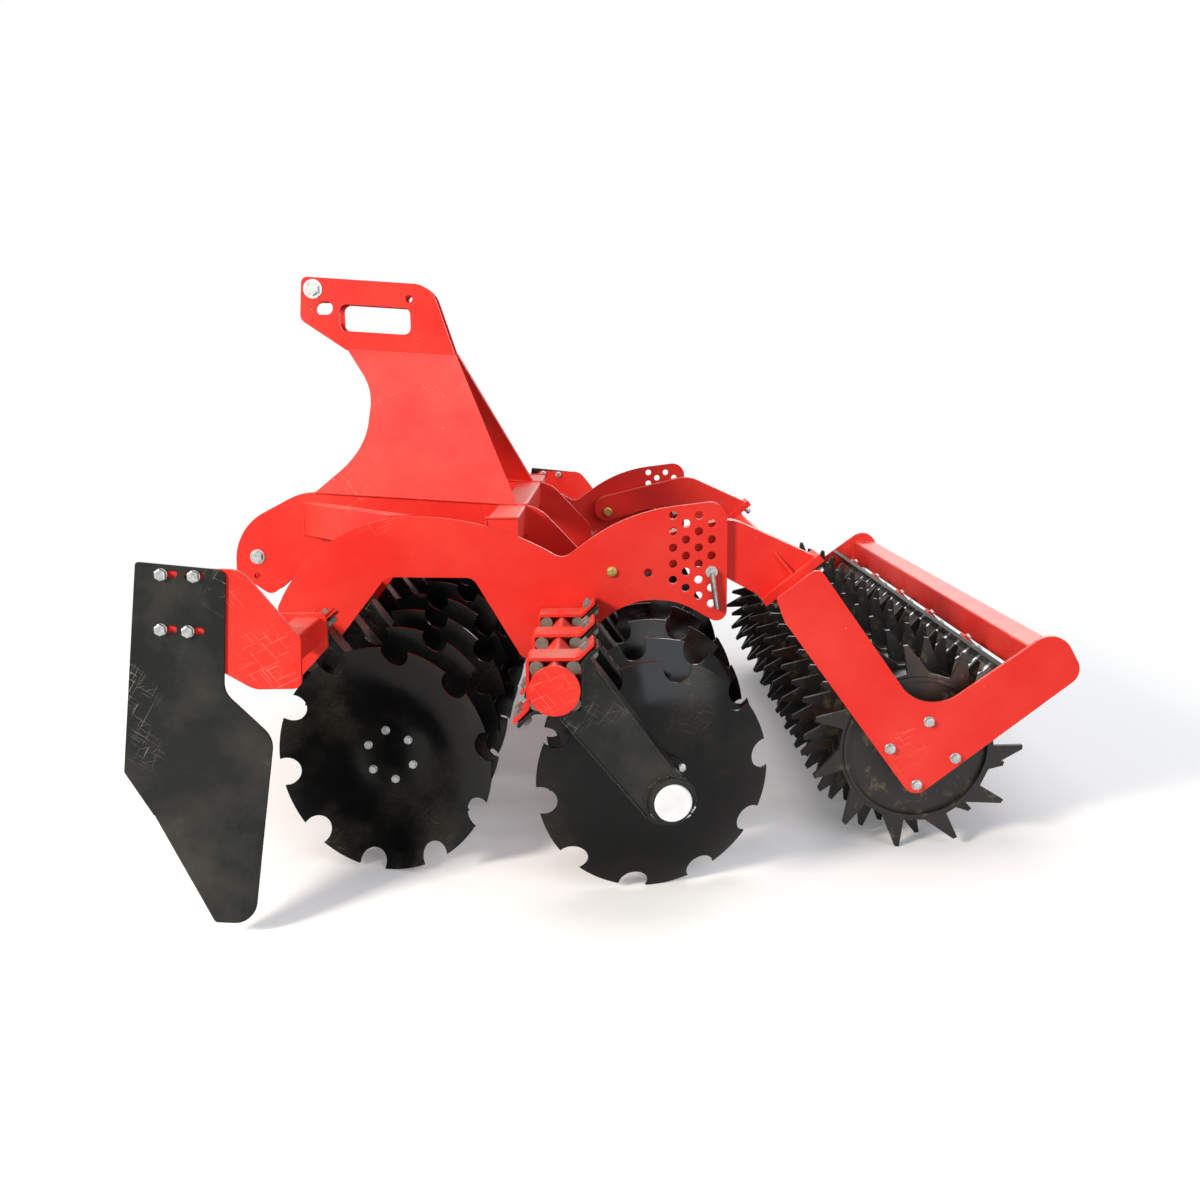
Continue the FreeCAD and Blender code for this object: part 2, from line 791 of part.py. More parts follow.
def makeMast():
    """The upright head and the flared leg, which meet along the bend."""
    upper = newBody("mastUpper")
    rearLow = rearX + 388
    frontLow = frontX + 47
    outline = [
        (topPinX + 37, topPinZ + 42, 22),
        (topPinX - 403, topPinZ + 11, 86),
        (rearLow, bendLine(rearLow) - 4, 0),
        (frontLow, bendLine(frontLow) - 4, 0),
        (topPinX + 49, topPinZ - 101, 30),
    ]
    window = [(-122, 45, 24), (122, 62, 24), (122, -28, 24), (-122, -45, 24)]
    window = shifted(window, topPinX - 208, topPinZ - 111)
    loops = [roundedEdges(outline), roundedEdges(window)]
    loops.append(slot(topPinX - 27, topPinZ - 63, 77, 45))
    loops.append(circle(topPinX, topPinZ, size["topPinDiameter"] / 2 + size["runningGap"]))
    loops.append(circle(topPinX + 1, topPinZ - 108, size["spareTopHole"] / 2))
    loops.append(circle(topPinX - 327, topPinZ - 35, size["liftingHole"] / 2))
    pad(upper, "mastUpperPad", newSketch(upper, "mastUpperProfile", "XZ_Plane", loops), "sizes.mastThickness")
    upper.Placement.Base = Vector(0, mastMiddle, 0)
    lower = newBody("mastLower")
    outline = [
        flared(rearLow, bendLine(rearLow) + 3, 0),
        flared(footRearX - 4, topEdge(footRearX) - 14, 0),
        flared(footFrontX + 21, topEdge(footFrontX) - 14, 0),
        flared(frontX - 61, beamZ + 494, 320),
        flared(frontX - 61, beamZ + 691, 320),
        flared(frontLow, bendLine(frontLow) + 3, 0),
    ]
    sketch = newSketch(lower, "mastLowerProfile", "XZ_Plane", [roundedEdges(outline)])
    pad(lower, "mastLowerPad", sketch, "sizes.mastThickness")
    sloped = Rotation(yAxis, -size["mastFootSlope"])
    rotation = sloped.multiply(Rotation(xAxis, math.degrees(flare)))
    lower.Placement = Placement(Vector(bendX, mastMiddle, bendZ), rotation)
    head = cut("mastHead", upper, lower)
    # The foot is cut to stand on the inner plate's top edge.
    above = Vector(-math.sin(footSlope), 0, math.cos(footSlope))
    reach = size["rowGap"]
    corner = Vector(footRearX - reach / 2, 0, topEdge(footRearX - reach / 2)) - above * reach / 2
    rules = ("2 * sizes.rowGap", "sizes.rowGap", "sizes.rowGap / 2")
    floor = makeBox("mastFloor", rules[0], rules[1], rules[2], Placement(corner, sloped))
    return head, cut("mastLeg", lower, floor)


mastHead, mastLeg = makeMast()
pairNode("mast_heads", mastHead)
pairNode("mast_legs", mastLeg)

tieCorner = Vector(rearX + 440, -mastInside, bendZ + 20)
node("mast_tie_plate", makeBox("mastTie", "sizes.mastThickness", "sizes.mastGap", "sizes.tieHeight",
                               Placement(tieCorner, Rotation(yAxis, size["tieTilt"]))))


def makePin(name, diameter, head, length, base):
    """Round pin along +Y from its base, with a flat head at each end."""
    thick = size["pinHeadThickness"]
    shank = "sizes.%s / 2" % diameter
    flat = "sizes.%s / 2" % head
    parts = [
        makeCylinder(name + "Shank", shank, "%.3f mm" % length, base),
        makeCylinder(name + "LeftHead", flat, "sizes.pinHeadThickness", base + yAxis * length),
        makeCylinder(name + "RightHead", flat, "sizes.pinHeadThickness", base - yAxis * thick),
    ]
    return fuse(name, parts)


topPinLength = size["mastGap"] + 2 * size["mastThickness"]
topPinBase = Vector(topPinX, -topPinLength / 2, topPinZ)
node("top_link_pin", makePin("topPin", "topPinDiameter", "topPinHead", topPinLength, topPinBase))

lowerPinLength = size["cheekSpacing"] + size["plateThickness"]
lowerPinStart = size["innerPlateY"] + size["plateThickness"] / 2 - lowerPinLength
lowerPinBase = Vector(lowerPinX, lowerPinStart, lowerPinZ)
lowerPin = makePin("lowerPin", "lowerPinDiameter", "lowerPinHead", lowerPinLength, lowerPinBase)
pairNode("lower_link_pins", lowerPin)

# Cross tube and braces

crossHalf = size["crossTubeSide"] / 2
innerFace = size["innerPlateY"] + size["plateThickness"] / 2
sideFace = size["sidePlateY"] - size["plateThickness"] / 2


def makeCrossLength(name, lengthRule, y):
    """One length of the cross tube, which butts on the frame plates."""
    place = Placement(Vector(size["crossTubeX"], y, size["crossTubeHeight"]), Rotation())
    return makeTube(name, lengthRule, crossHalf, size["crossTubeWall"], size["crossTubeCorner"], place)


sideRule = "sizes.sidePlateY - sizes.innerPlateY - sizes.plateThickness"
endInset = crossHalf - size["crossTubeWall"]
endCorner = Vector(size["crossTubeX"] - endInset, sideFace - size["crossTubeWall"], size["crossTubeHeight"] - endInset)
insideRule = "sizes.crossTubeSide - 2 * sizes.crossTubeWall"
crossEnd = makeBox("crossEnd", insideRule, "sizes.crossTubeWall", insideRule, Placement(endCorner, Rotation()))
crossOpen = makeCrossLength("crossOpen", sideRule, (innerFace + sideFace) / 2)
crossLeft = fuse("crossLeft", [crossOpen, crossEnd])
crossMiddle = makeCrossLength("crossMiddle", "2 * sizes.innerPlateY - sizes.plateThickness", 0)
node("cross_tube", compound("crossTube", [crossLeft, crossMiddle, mirrored("crossRight", crossLeft)]))


def makeBrace():
    """Flat-sided strut from the front of an inner plate back to the middle of a side plate."""
    body = newBody("diagonalBrace")
    half = size["braceWidth"] / 2
    startX = frontX + 84
    endX = frontX - 256
    corners = [(startX + half, innerFace, 0), (endX + half, sideFace, 0)]
    corners += [(endX - half, sideFace, 0), (startX - half, innerFace, 0)]
    sketch = newSketch(body, "braceProfile", "XY_Plane", [roundedEdges(corners)])
    pad(body, "bracePad", sketch, "sizes.braceHeight")
    bind(body, {"Placement.Base.z": "sizes.braceCentre"})
    return body


pairNode("diagonal_braces", makeBrace())

# Soil deflectors, made about the beam that carries them

deflectorY = size["deflectorFaceY"] - size["deflectorThickness"] / 2
bracketFace = size["deflectorFaceY"] - size["deflectorThickness"]
deflectorBolts = ((170, 282), (96, 277), (181, 154), (119, 149))
slotSlack = (size["slotLength"] - size["slotHeight"]) / 2
slotShifts = (slotSlack, 0, slotSlack, slotSlack)


def makeBracket(name, endY):
    """End plate on a beam's bare end, tube reaching out, and the plate that carries the deflector."""
    body = newBody(name)

    def outFrom(y):
        return Placement(Vector(0, 0, -y), Rotation())

    def padOut(part, loops, y, rule):
        sketch = newSketch(body, name + part + "Section", "XZ_Plane", loops, outFrom(y))
        pad(body, name + part, sketch, rule, "One side").Reversed = True

    tubeX = -46
    tubeZ = 62
    half = size["bracketTubeSide"] / 2
    endPlate = [(72, 0, 20), (40, 108, 20), (-96, 108, 20), (-96, 14, 15), (-10, -76, 20), (20, -72, 20)]
    padOut("EndPlate", [roundedEdges(endPlate)], endY, "sizes.bracketThickness")
    tube = [(half, half, 6), (-half, half, 6), (-half, -half, 6), (half, -half, 6)]
    tubeRule = "(sizes.deflectorFaceY - sizes.deflectorThickness - %.3f) * 1 mm" % endY
    padOut("Tube", [roundedEdges(shifted(tube, tubeX, tubeZ))], endY, tubeRule)
    plate = [(199, 296, 20), (-9, 290, 60), (-136, 127, 25), (-131, 9, 20)]
    plate += [(-21, 8, 60), (69, 62, 40), (199, 102, 20)]
    loops = [roundedEdges(plate)]
    loops += [circle(x, z, size["slotBolt"] / 2) for x, z in deflectorBolts]
    padOut("Plate", loops, bracketFace - size["bracketThickness"], "sizes.bracketThickness")
    return body


def makeDeflector():
    """Guard plate with slots for its bolts, its lower part bent outwards."""
    upper = newBody("deflectorUpper")
    bendFront = Vector(236, -297, 0)
    bendRear = Vector(-26, -317, 0)
    outline = [(227, 311, 8), (24, 290, 20), (48, 3, 50), (-60, -109, 60)]
    outline += [(bendRear.x, bendRear.y, 0), (bendFront.x, bendFront.y, 0), (297, -189, 12)]
    loops = [roundedEdges(outline)]
    for (x, z), shift in zip(deflectorBolts, slotShifts):
        loops.append(slot(x - shift, z, size["slotLength"], size["slotHeight"]))
    sketch = newSketch(upper, "deflectorUpperProfile", "XZ_Plane", loops)
    pad(upper, "deflectorUpperPad", sketch, "sizes.deflectorThickness")
    # The lower part is drawn from the rear end of the bend line, along it and down from it.
    lower = newBody("deflectorLower")
    bendRun = bendFront - bendRear
    lap = size["deflectorThickness"] / 3
    outline = [(bendRun.Length, lap, 0), (0, lap, 0), (6, -241, 50), (99, -243, 12)]
    sketch = newSketch(lower, "deflectorLowerProfile", "XZ_Plane", [roundedEdges(outline)])
    pad(lower, "deflectorLowerPad", sketch, "sizes.deflectorThickness")
    slope = math.degrees(math.atan2(bendRun.y, bendRun.x))
    rotation = Rotation(yAxis, -slope).multiply(Rotation(xAxis, size["deflectorBend"]))
    lower.Placement = Placement(Vector(bendRear.x, 0, bendRear.y), rotation)
    plate = fuse("deflectorPlate", [upper, lower])
    plate.Placement.Base = Vector(0, deflectorY, 0)
    return compound("deflectorMaster", [plate])


frontSpot = Placement(Vector(frontX, 0, beamZ), Rotation())
rearSpot = Placement(Vector(rearX, 0, beamZ), Rotation())
leftBracket = makeBracket("leftBracket", frontEnds[1])
rightBracket = mirrored("rightBracketMirror", makeBracket("rightBracket", -rearEnds[0]))
bracketLinks = [linked("bracketLeft", leftBracket, frontSpot), linked("bracketRight", rightBracket, rearSpot)]
node("deflector_brackets", compound("bracketPair", bracketLinks))
deflector = makeDeflector()
deflectorLinks = [
    linked("deflectorLeft", deflector, frontSpot),
    linked("deflectorRight", mirrored("deflectorMirror", deflector), rearSpot),
]
node("soil_deflectors", compound("deflectorPair", deflectorLinks))

# Pivot bolts and depth pins, between each side plate and the roller arm inside it

outerFace = size["sidePlateY"] + size["plateThickness"] / 2
armInner = size["rollerArmY"] - size["rollerArmWidth"] / 2
pinStart = armInner - size["armSideGap"]


def makePivotBolt():
    start = Vector(pivotX, pinStart, pivotZ)
    outside = Vector(pivotX, outerFace, pivotZ)
    parts = [
        makeCylinder("pivotShank", "sizes.pivotDiameter / 2", "%.3f mm" % (outerFace - pinStart), start),
        makeCylinder("pivotHead", "sizes.pivotHead / 2", "sizes.pivotHeadThickness", outside),
        makeCylinder("pivotNut", "sizes.pivotNut / 2", "sizes.pivotNutLength", start - yAxis * size["pivotNutLength"]),
    ]
    return fuse("pivotBolt", parts)


pairNode("pivot_bolts", makePivotBolt())

pinX, pinZ = gridPlace(int(size["depthPinColumn"]), int(size["depthPinRow"]))
pinRadius = size["gridHole"] / 2 - size["seatGap"]


def makeDepthPin():
    """Pin on which the roller arm rests, with a collar and a handle that hangs down outside."""
    start = Vector(pinX, pinStart, pinZ)
    outside = Vector(pinX, outerFace, pinZ)
    bend = outside + yAxis * size["depthHandleOut"]
    length = bend.y + size["pinHeadThickness"] / 2 - pinStart
    hanging = Rotation(yAxis, 180 + size["depthHandleTilt"])
    parts = [
        makeCylinder("depthShank", "%.3f mm" % pinRadius, "%.3f mm" % length, start),
        makeCylinder("depthCollar", "sizes.depthCollar / 2", "sizes.depthCollarThickness", outside),
        makeCylinder("depthHandle", "sizes.depthHandleDiameter / 2", "sizes.depthHandle", bend, hanging),
    ]
    return fuse("depthPin", parts)


pairNode("depth_pins", makeDepthPin())

# Roller frame: the arms end in flanges, and the roller's cross beam is bolted on behind them

flangeHigh = Vector(-580, 0, 797)
flangeLow = Vector(-417, 0, 665)
flangeRun = flangeLow - flangeHigh
flangeLength = flangeRun.Length
flangeTilt = math.degrees(math.atan2(-flangeRun.z, flangeRun.x))
flangeRun.normalize()
flangeOut = Vector(flangeRun.z, 0, -flangeRun.x)
flangeMiddle = (flangeHigh + flangeLow) * 0.5
flangeTurn = Rotation(yAxis, flangeTilt)


def flangePlate(name, layer, middleY):
    """Plate along the flange line: layer 0 on the arm's side of the joint, layer 1 on the beam's."""
    start = flangeHigh + flangeOut * (size["flangeThickness"] * layer)
    start.y = middleY - size["flangeWidth"] / 2
    rule = "%.3f mm" % flangeLength
    return makeBox(name, rule, "sizes.flangeWidth", "sizes.flangeThickness", Placement(start, flangeTurn))


def makeRollerArm():
    body = newBody("rollerArm")
    rest = pinZ + pinRadius + size["seatGap"]
    high = flangeHigh - flangeOut * (size["flangeThickness"] / 2)
    low = flangeLow - flangeOut * (size["flangeThickness"] / 2)
    outline = [
        (pivotX + 55, pivotZ - 55, 55),
        (pivotX + 55, pivotZ + 55, 55),
        (pivotX - 342, pivotZ + 150, 120),
        (high.x + 8, high.z - 6, 0),
        (low.x - 8, low.z + 6, 0),
        (pinX - 38, pinZ - 18, 8),
        (pinX - 20, rest, 6),
        (pinX + 120, rest, 80),
    ]
    loops = [roundedEdges(outline), circle(pivotX, pivotZ, pivotHole)]
    pad(body, "rollerArmPad", newSketch(body, "rollerArmProfile", "XZ_Plane", loops), "sizes.rollerArmWidth")
    bind(body, {"Placement.Base.y": "sizes.rollerArmY"})
    return fuse("rollerArmWelded", [body, flangePlate("armFlange", 0, size["rollerArmY"])])


pairNode("roller_arms", makeRollerArm())

plateInside = size["rollerPlateY"] - size["rollerPlateThickness"] / 2
acrossRule = "2 * sizes.rollerPlateY - sizes.rollerPlateThickness"
rollerBeamHalf = size["rollerBeamSide"] / 2


def makeRollerBeam():
    centre = flangeMiddle + flangeOut * (size["flangeThickness"] + rollerBeamHalf)
    placement = Placement(centre, flangeTurn)
    tube = makeTube("rollerBeam", acrossRule, rollerBeamHalf, size["rollerBeamWall"], 10, placement)
    left = flangePlate("beamSeatLeft", 1, size["rollerArmY"])
    right = flangePlate("beamSeatRight", 1, -size["rollerArmY"])
    return fuse("rollerBeamWelded", [tube, left, right])


node("roller_cross_beam", makeRollerBeam())

# The rings stand in pairs a half tooth apart, so the roller rests on the tips of both.
rollerX = size["rollerAxisX"]
toothStep = 360 / size["toothCount"]
tipRadius = size["rollerTipDiameter"] / 2
tipAngle = math.degrees(size["toothTip"] / tipRadius)
rollerZ = tipRadius * math.cos(math.radians(toothStep / 4 - tipAngle / 2))
rollerAxis = Vector(rollerX, 0, rollerZ)


def makeRollerPlate():
    body = newBody("rollerPlate")
    outline = [(407, 434, 12), (296, 518, 22), (-1, 100, 110), (-350, 356, 62)]
    outline += [(-424, 223, 45), (19, -129, 40), (383, 370, 15)]
    sketch = newSketch(body, "rollerPlateProfile", "XZ_Plane", [roundedEdges(shifted(outline, rollerX, rollerZ))])
    pad(body, "rollerPlatePad", sketch, "sizes.rollerPlateThickness")
    bind(body, {"Placement.Base.y": "sizes.rollerPlateY"})
    return body


pairNode("roller_side_plates", makeRollerPlate())


def makeBearing():
    """Square flange bearing on the inner face of a roller side plate."""
    body = newBody("rollerBearing")
    sketch = newSketch(body, "bearingFlangeProfile", "XZ_Plane", [square(size["bearingFlange"] / 2, 30)])
    pad(body, "bearingFlangePad", sketch, "sizes.bearingFlangeThickness", "One side")
    sketch = newSketch(body, "bearingBossProfile", "XZ_Plane", [circle(0, 0, size["bearingBossDiameter"] / 2)])
    pad(body, "bearingBoss", sketch, "sizes.bearingBossLength", "One side")
    bore = circle(0, 0, size["rollerShaftDiameter"] / 2 + size["runningGap"])
    pocket(body, "bearingBore", newSketch(body, "bearingBoreProfile", "XZ_Plane", [bore]))
    body.Placement = Placement(Vector(rollerX, plateInside, rollerZ), Rotation(yAxis, size["bearingTurn"]))
    return compound("bearingPlaced", [body])


pairNode("roller_bearings", makeBearing())

rearBarHalf = size["rearBarSide"] / 2
rearBarMiddle = Vector(size["rearBarX"] - rearBarHalf, 0, size["rearBarTop"] - rearBarHalf)
rearBarPlace = Placement(rearBarMiddle, Rotation())
node("rear_bar", makeTube("rearBar", acrossRule, rearBarHalf, size["rearBarWall"], 8, rearBarPlace))

# Scrapers reach from a flat bar, through the gaps between the rings, down to the drum.
scraperTurn = math.radians(size["scraperAngle"])
scraperOut = Vector(math.cos(scraperTurn), 0, math.sin(scraperTurn))
scraperSide = Vector(scraperOut.z, 0, -scraperOut.x)
scraperTilt = Rotation(yAxis, 90 - size["scraperAngle"])
drumRadius = size["drumDiameter"] / 2
barRadius = size["scraperBarRadius"]
barHalf = size["scraperBarWidth"] / 2
barTop = barRadius + size["scraperBarThickness"]
ringPitch = size["ringSpan"] / (size["ringCount"] - 1)


def radialBox(name, rules, corner):
    """Box square to the scrapers: its corner is given as (sideways, y, distance from the roller's axis)."""
    base = rollerAxis + scraperSide * corner[0] + yAxis * corner[1] + scraperOut * corner[2]
    return makeBox(name, rules[0], rules[1], rules[2], Placement(base, scraperTilt))


barRules = ("sizes.scraperBarWidth", acrossRule, "sizes.scraperBarThickness")
node("scraper_bar", radialBox("scraperBar", barRules, (-barHalf, -plateInside, barRadius)))

bladeFrom = math.sqrt((drumRadius + size["moveGap"]) ** 2 - barHalf ** 2)
bladeRules = ("sizes.scraperThickness", "sizes.scraperWidth", "%.3f mm" % (barTop + size["scraperTop"] - bladeFrom))
blades = []
for index in range(int(size["ringCount"]) - 1):
    y = size["ringSpan"] / 2 - ringPitch * (index + 0.5) - size["scraperWidth"] / 2
    corner = (-barHalf - size["scraperThickness"], y, bladeFrom)
    blades.append(radialBox("scraper%d" % index, bladeRules, corner))
node("scrapers", compound("scraperRow", blades))

clips = []
for index in range(int(size["clipCount"])):
    y = size["clipPitch"] * (index - (size["clipCount"] - 1) / 2) - size["clipWidth"] / 2
    clips.append(radialBox("clip%d" % index, ("sizes.scraperBarWidth", "sizes.clipWidth", "sizes.clipThickness"),
                           (-barHalf, y, barTop)))
node("scraper_clips", compound("clipRow", clips))


# Roller

drumHalf = plateInside - size["drumEndGap"]


def makeDrum():
    """Tube with recessed end walls and a stub shaft at each end, turned as two halves."""
    body = newBody("drumHalf")
    shaft = size["rollerShaftDiameter"] / 2
    inner = drumRadius - size["drumWall"]
    shaftEnd = plateInside - size["moveGap"]
    outside = drumHalf - size["drumRecess"]
    inside = outside - size["drumEndWall"]
    steps = [(drumRadius, 0), (drumRadius, drumHalf), (inner, drumHalf), (inner, outside), (shaft, outside)]
    steps += [(shaft, shaftEnd), (0, shaftEnd), (0, inside), (inner, inside), (inner, 0)]
    revolve(body, "drumTurned", roundedEdges([(x, y, 0) for x, y in steps]))
    whole = fuse("rollerDrum", [body, mirrored("drumOtherHalf", body)])
    whole.Placement.Base = rollerAxis
    return whole


node("roller_drum", makeDrum())


def makeRing():
    """Toothed ring: each tooth has a radial front flank and a sloping back."""
    body = newBody("toothedRing")
    root = size["rollerRootDiameter"] / 2
    slopeRun = (tipRadius - root) * math.tan(math.radians(size["toothSlope"]))
    baseAngle = tipAngle + math.degrees(slopeRun / root)
    corners = []
    for index in range(int(size["toothCount"])):
        start = -90 - tipAngle / 2 + toothStep * index
        tooth = ((root, start), (tipRadius, start), (tipRadius, start + tipAngle), (root, start + baseAngle))
        for radius, angle in tooth:
            place = math.radians(angle)
            corners.append((radius * math.cos(place), radius * math.sin(place), 0))
    loops = [roundedEdges(corners), circle(0, 0, drumRadius + size["seatGap"])]
    pad(body, "ringPad", newSketch(body, "ringProfile", "XZ_Plane", loops), "sizes.ringThickness")
    return body


ringMaster = makeRing()
rings = []
for index in range(int(size["ringCount"])):
    y = size["ringSpan"] / 2 - ringPitch * index
    phase = toothStep / 4 if index % 2 else -toothStep / 4
    rings.append(linked("ring%d" % index, ringMaster, Placement(rollerAxis + yAxis * y, Rotation(yAxis, phase))))
node("roller_rings", compound("ringRow", rings))

# Build, check and write

doc.recompute()
problems = []
for thing in doc.Objects:
    if "Invalid" in thing.State or "Error" in thing.State:
        problems.append("%s: %s" % (thing.Name, thing.State))
for thing in nodes:
    shape = thing.Shape
    if shape.isNull() or not shape.isValid() or not shape.Solids:
        problems.append("%s has no valid solid" % thing.Label)
if problems:
    raise RuntimeError("\n".join(problems))

os.makedirs("parts", exist_ok=True)
whole = FreeCAD.BoundBox()
volume = 0
for thing in nodes:
    thing.Shape.exportStep("parts/%s.step" % thing.Label)
    whole.add(thing.Shape.BoundBox)
    volume += thing.Shape.Volume
print("nodes", len(nodes), "solids", sum(len(thing.Shape.Solids) for thing in nodes), "litres", volume / 1e6)
print("X", round(whole.XMin, 1), round(whole.XMax, 1))
print("Y", round(whole.YMin, 1), round(whole.YMax, 1))
print("Z", round(whole.ZMin, 1), round(whole.ZMax, 1))
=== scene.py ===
import bpy
import math
from mathutils import Matrix, Vector


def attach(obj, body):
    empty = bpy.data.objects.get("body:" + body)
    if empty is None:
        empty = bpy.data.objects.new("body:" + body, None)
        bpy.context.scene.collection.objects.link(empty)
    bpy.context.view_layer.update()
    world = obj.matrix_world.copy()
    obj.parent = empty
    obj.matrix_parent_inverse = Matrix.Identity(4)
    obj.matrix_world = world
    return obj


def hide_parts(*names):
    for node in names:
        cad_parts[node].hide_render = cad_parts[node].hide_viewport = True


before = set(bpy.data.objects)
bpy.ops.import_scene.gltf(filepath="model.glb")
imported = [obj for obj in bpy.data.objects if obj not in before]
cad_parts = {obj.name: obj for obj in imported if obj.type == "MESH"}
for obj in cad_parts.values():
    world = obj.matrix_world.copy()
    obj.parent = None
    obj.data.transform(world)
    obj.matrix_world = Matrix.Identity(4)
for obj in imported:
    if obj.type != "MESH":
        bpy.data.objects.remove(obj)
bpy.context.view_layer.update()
print("stage: frame loaded,", len(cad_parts), "nodes")


# Small helpers

def toLinear(hexColour):
    channels = [int(hexColour[place:place + 2], 16) / 255 for place in (1, 3, 5)]
    return tuple(c / 12.92 if c <= 0.04045 else ((c + 0.055) / 1.055) ** 2.4 for c in channels) + (1.0,)


def deselectAll():
    for thing in bpy.context.selected_objects:
        thing.select_set(False)


def addNode(tree, kind, settings=None, links=None):
    node = tree.nodes.new(kind)
    for key, value in (settings or {}).items():
        if isinstance(key, str) and hasattr(node, key):
            setattr(node, key, value)
        else:
            node.inputs[key].default_value = value
    for key, source in (links or {}).items():
        tree.links.new(source, node.inputs[key])
    return node


def newMaterial(name):
    material = bpy.data.materials.new(name)
    material.use_nodes = True
    tree = material.node_tree
    tree.nodes.clear()
    coords = addNode(tree, "ShaderNodeTexCoord").outputs["Object"]
    return material, tree, coords


def ramp(tree, source, low, high):
    # grey ramp from black at low to white at high
    node = addNode(tree, "ShaderNodeMapRange", {"From Min": low, "From Max": high}, {"Value": source})
    return node.outputs["Result"]


def blend(tree, factor, first, second):
    # mix of two colours, each a hex value or the output of a node
    node = addNode(tree, "ShaderNodeMix", {"data_type": "RGBA"})
    for place, colour in ((6, first), (7, second)):
        if isinstance(colour, str):
            node.inputs[place].default_value = toLinear(colour)
        else:
            tree.links.new(colour, node.inputs[place])
    if isinstance(factor, float):
        node.inputs[0].default_value = factor
    else:
        tree.links.new(factor, node.inputs[0])
    return node.outputs[2]


def finishSurface(material, tree, settings, links):
    shader = addNode(tree, "ShaderNodeBsdfPrincipled", settings, links)
    addNode(tree, "ShaderNodeOutputMaterial", None, {"Surface": shader.outputs[0]})
    return material


# Finishes. Scales are per metre: 1 / (size of the pattern in metres).

redEnamel = {
    "colour": "#db281e", "faded": "#e23c30", "chip": "#e8a197", "dust": "#b08f78",
    "cloud": 1 / 0.260, "peel": 1 / 0.0035, "speck": 1 / 0.009, "hair": (0.100, 0.100, 0.0011),
    "roughness": 0.34, "edge": 0.0018,
}


def hairlines(tree, coords, turned, size, low):
    # thin drawn-out marks: noise stretched to the given length and width in metres
    drawn = addNode(tree, "ShaderNodeMapping", {
        "vector_type": "TEXTURE", "Rotation": (0, math.radians(turned), 0), "Scale": size,
    }, {"Vector": coords})
    hair = addNode(tree, "ShaderNodeTexNoise", {"Scale": 1.0, "Detail": 1.0}, {"Vector": drawn.outputs[0]})
    spots = addNode(tree, "ShaderNodeTexNoise", {"Scale": 1 / 0.240, "Detail": 2.0}, {"Vector": coords})
    mark = addNode(tree, "ShaderNodeMath", {"operation": "MULTIPLY"},
                   {0: ramp(tree, hair.outputs["Fac"], low, low + 0.05),
                    1: ramp(tree, spots.outputs["Fac"], 0.56, 0.70)})
    return mark.outputs[0]


def makeRedEnamel():
    # sprayed gloss enamel on laser-cut plate: orange peel, faded clouds, hairlines and dust on what faces up
    spec = redEnamel
    material, tree, coords = newMaterial("redGlossEnamel")
    cloud = addNode(tree, "ShaderNodeTexNoise", {"Scale": spec["cloud"], "Detail": 5.0, "Roughness": 0.6},
                    {"Vector": coords})
    tone = blend(tree, ramp(tree, cloud.outputs["Fac"], 0.38, 0.72), spec["colour"], spec["faded"])
    for turned, low in ((24, 0.69), (-52, 0.70)):
        tone = blend(tree, hairlines(tree, coords, turned, spec["hair"], low), tone, spec["chip"])
    speck = addNode(tree, "ShaderNodeTexNoise", {"Scale": spec["speck"], "Detail": 3.0}, {"Vector": coords})
    tone = blend(tree, ramp(tree, speck.outputs["Fac"], 0.735, 0.80), tone, spec["chip"])
    grime = addNode(tree, "ShaderNodeTexNoise", {"Scale": 1 / 0.090, "Detail": 6.0}, {"Vector": coords})
    facing = addNode(tree, "ShaderNodeSeparateXYZ", None,
                     {"Vector": addNode(tree, "ShaderNodeNewGeometry").outputs["Normal"]})
    settled = addNode(tree, "ShaderNodeMath", {"operation": "MULTIPLY"},
                      {0: ramp(tree, facing.outputs["Z"], 0.60, 1.0),
                       1: ramp(tree, grime.outputs["Fac"], 0.30, 0.65)})
    thin = addNode(tree, "ShaderNodeMath", {"operation": "MULTIPLY", 1: 0.45}, {0: settled.outputs[0]})
    tone = blend(tree, thin.outputs[0], tone, spec["dust"])
    shine = addNode(tree, "ShaderNodeMapRange", {"To Min": spec["roughness"], "To Max": spec["roughness"] + 0.16},
                    {"Value": grime.outputs["Fac"]})
    peel = addNode(tree, "ShaderNodeTexNoise", {"Scale": spec["peel"], "Detail": 1.0}, {"Vector": coords})
    soft = addNode(tree, "ShaderNodeBevel", {"samples": 4, "Radius": spec["edge"]})
    bump = addNode(tree, "ShaderNodeBump", {"Strength": 0.18, "Distance": 0.0006},
                   {"Height": peel.outputs["Fac"], "Normal": soft.outputs[0]})
    fixed = {"IOR": 1.45, "Specular IOR Level": 0.30, "Coat Weight": 0.06, "Coat Roughness": 0.15}
    return finishSurface(material, tree, fixed,
                         {"Base Color": tone, "Roughness": shine.outputs[0], "Normal": bump.outputs[0]})


blackEnamel = {
    "colour": "#121311", "film": "#3b3a34", "scratch": "#b5b1a6", "roughness": 0.26, "hair": (0.090, 0.090, 0.0011),
}


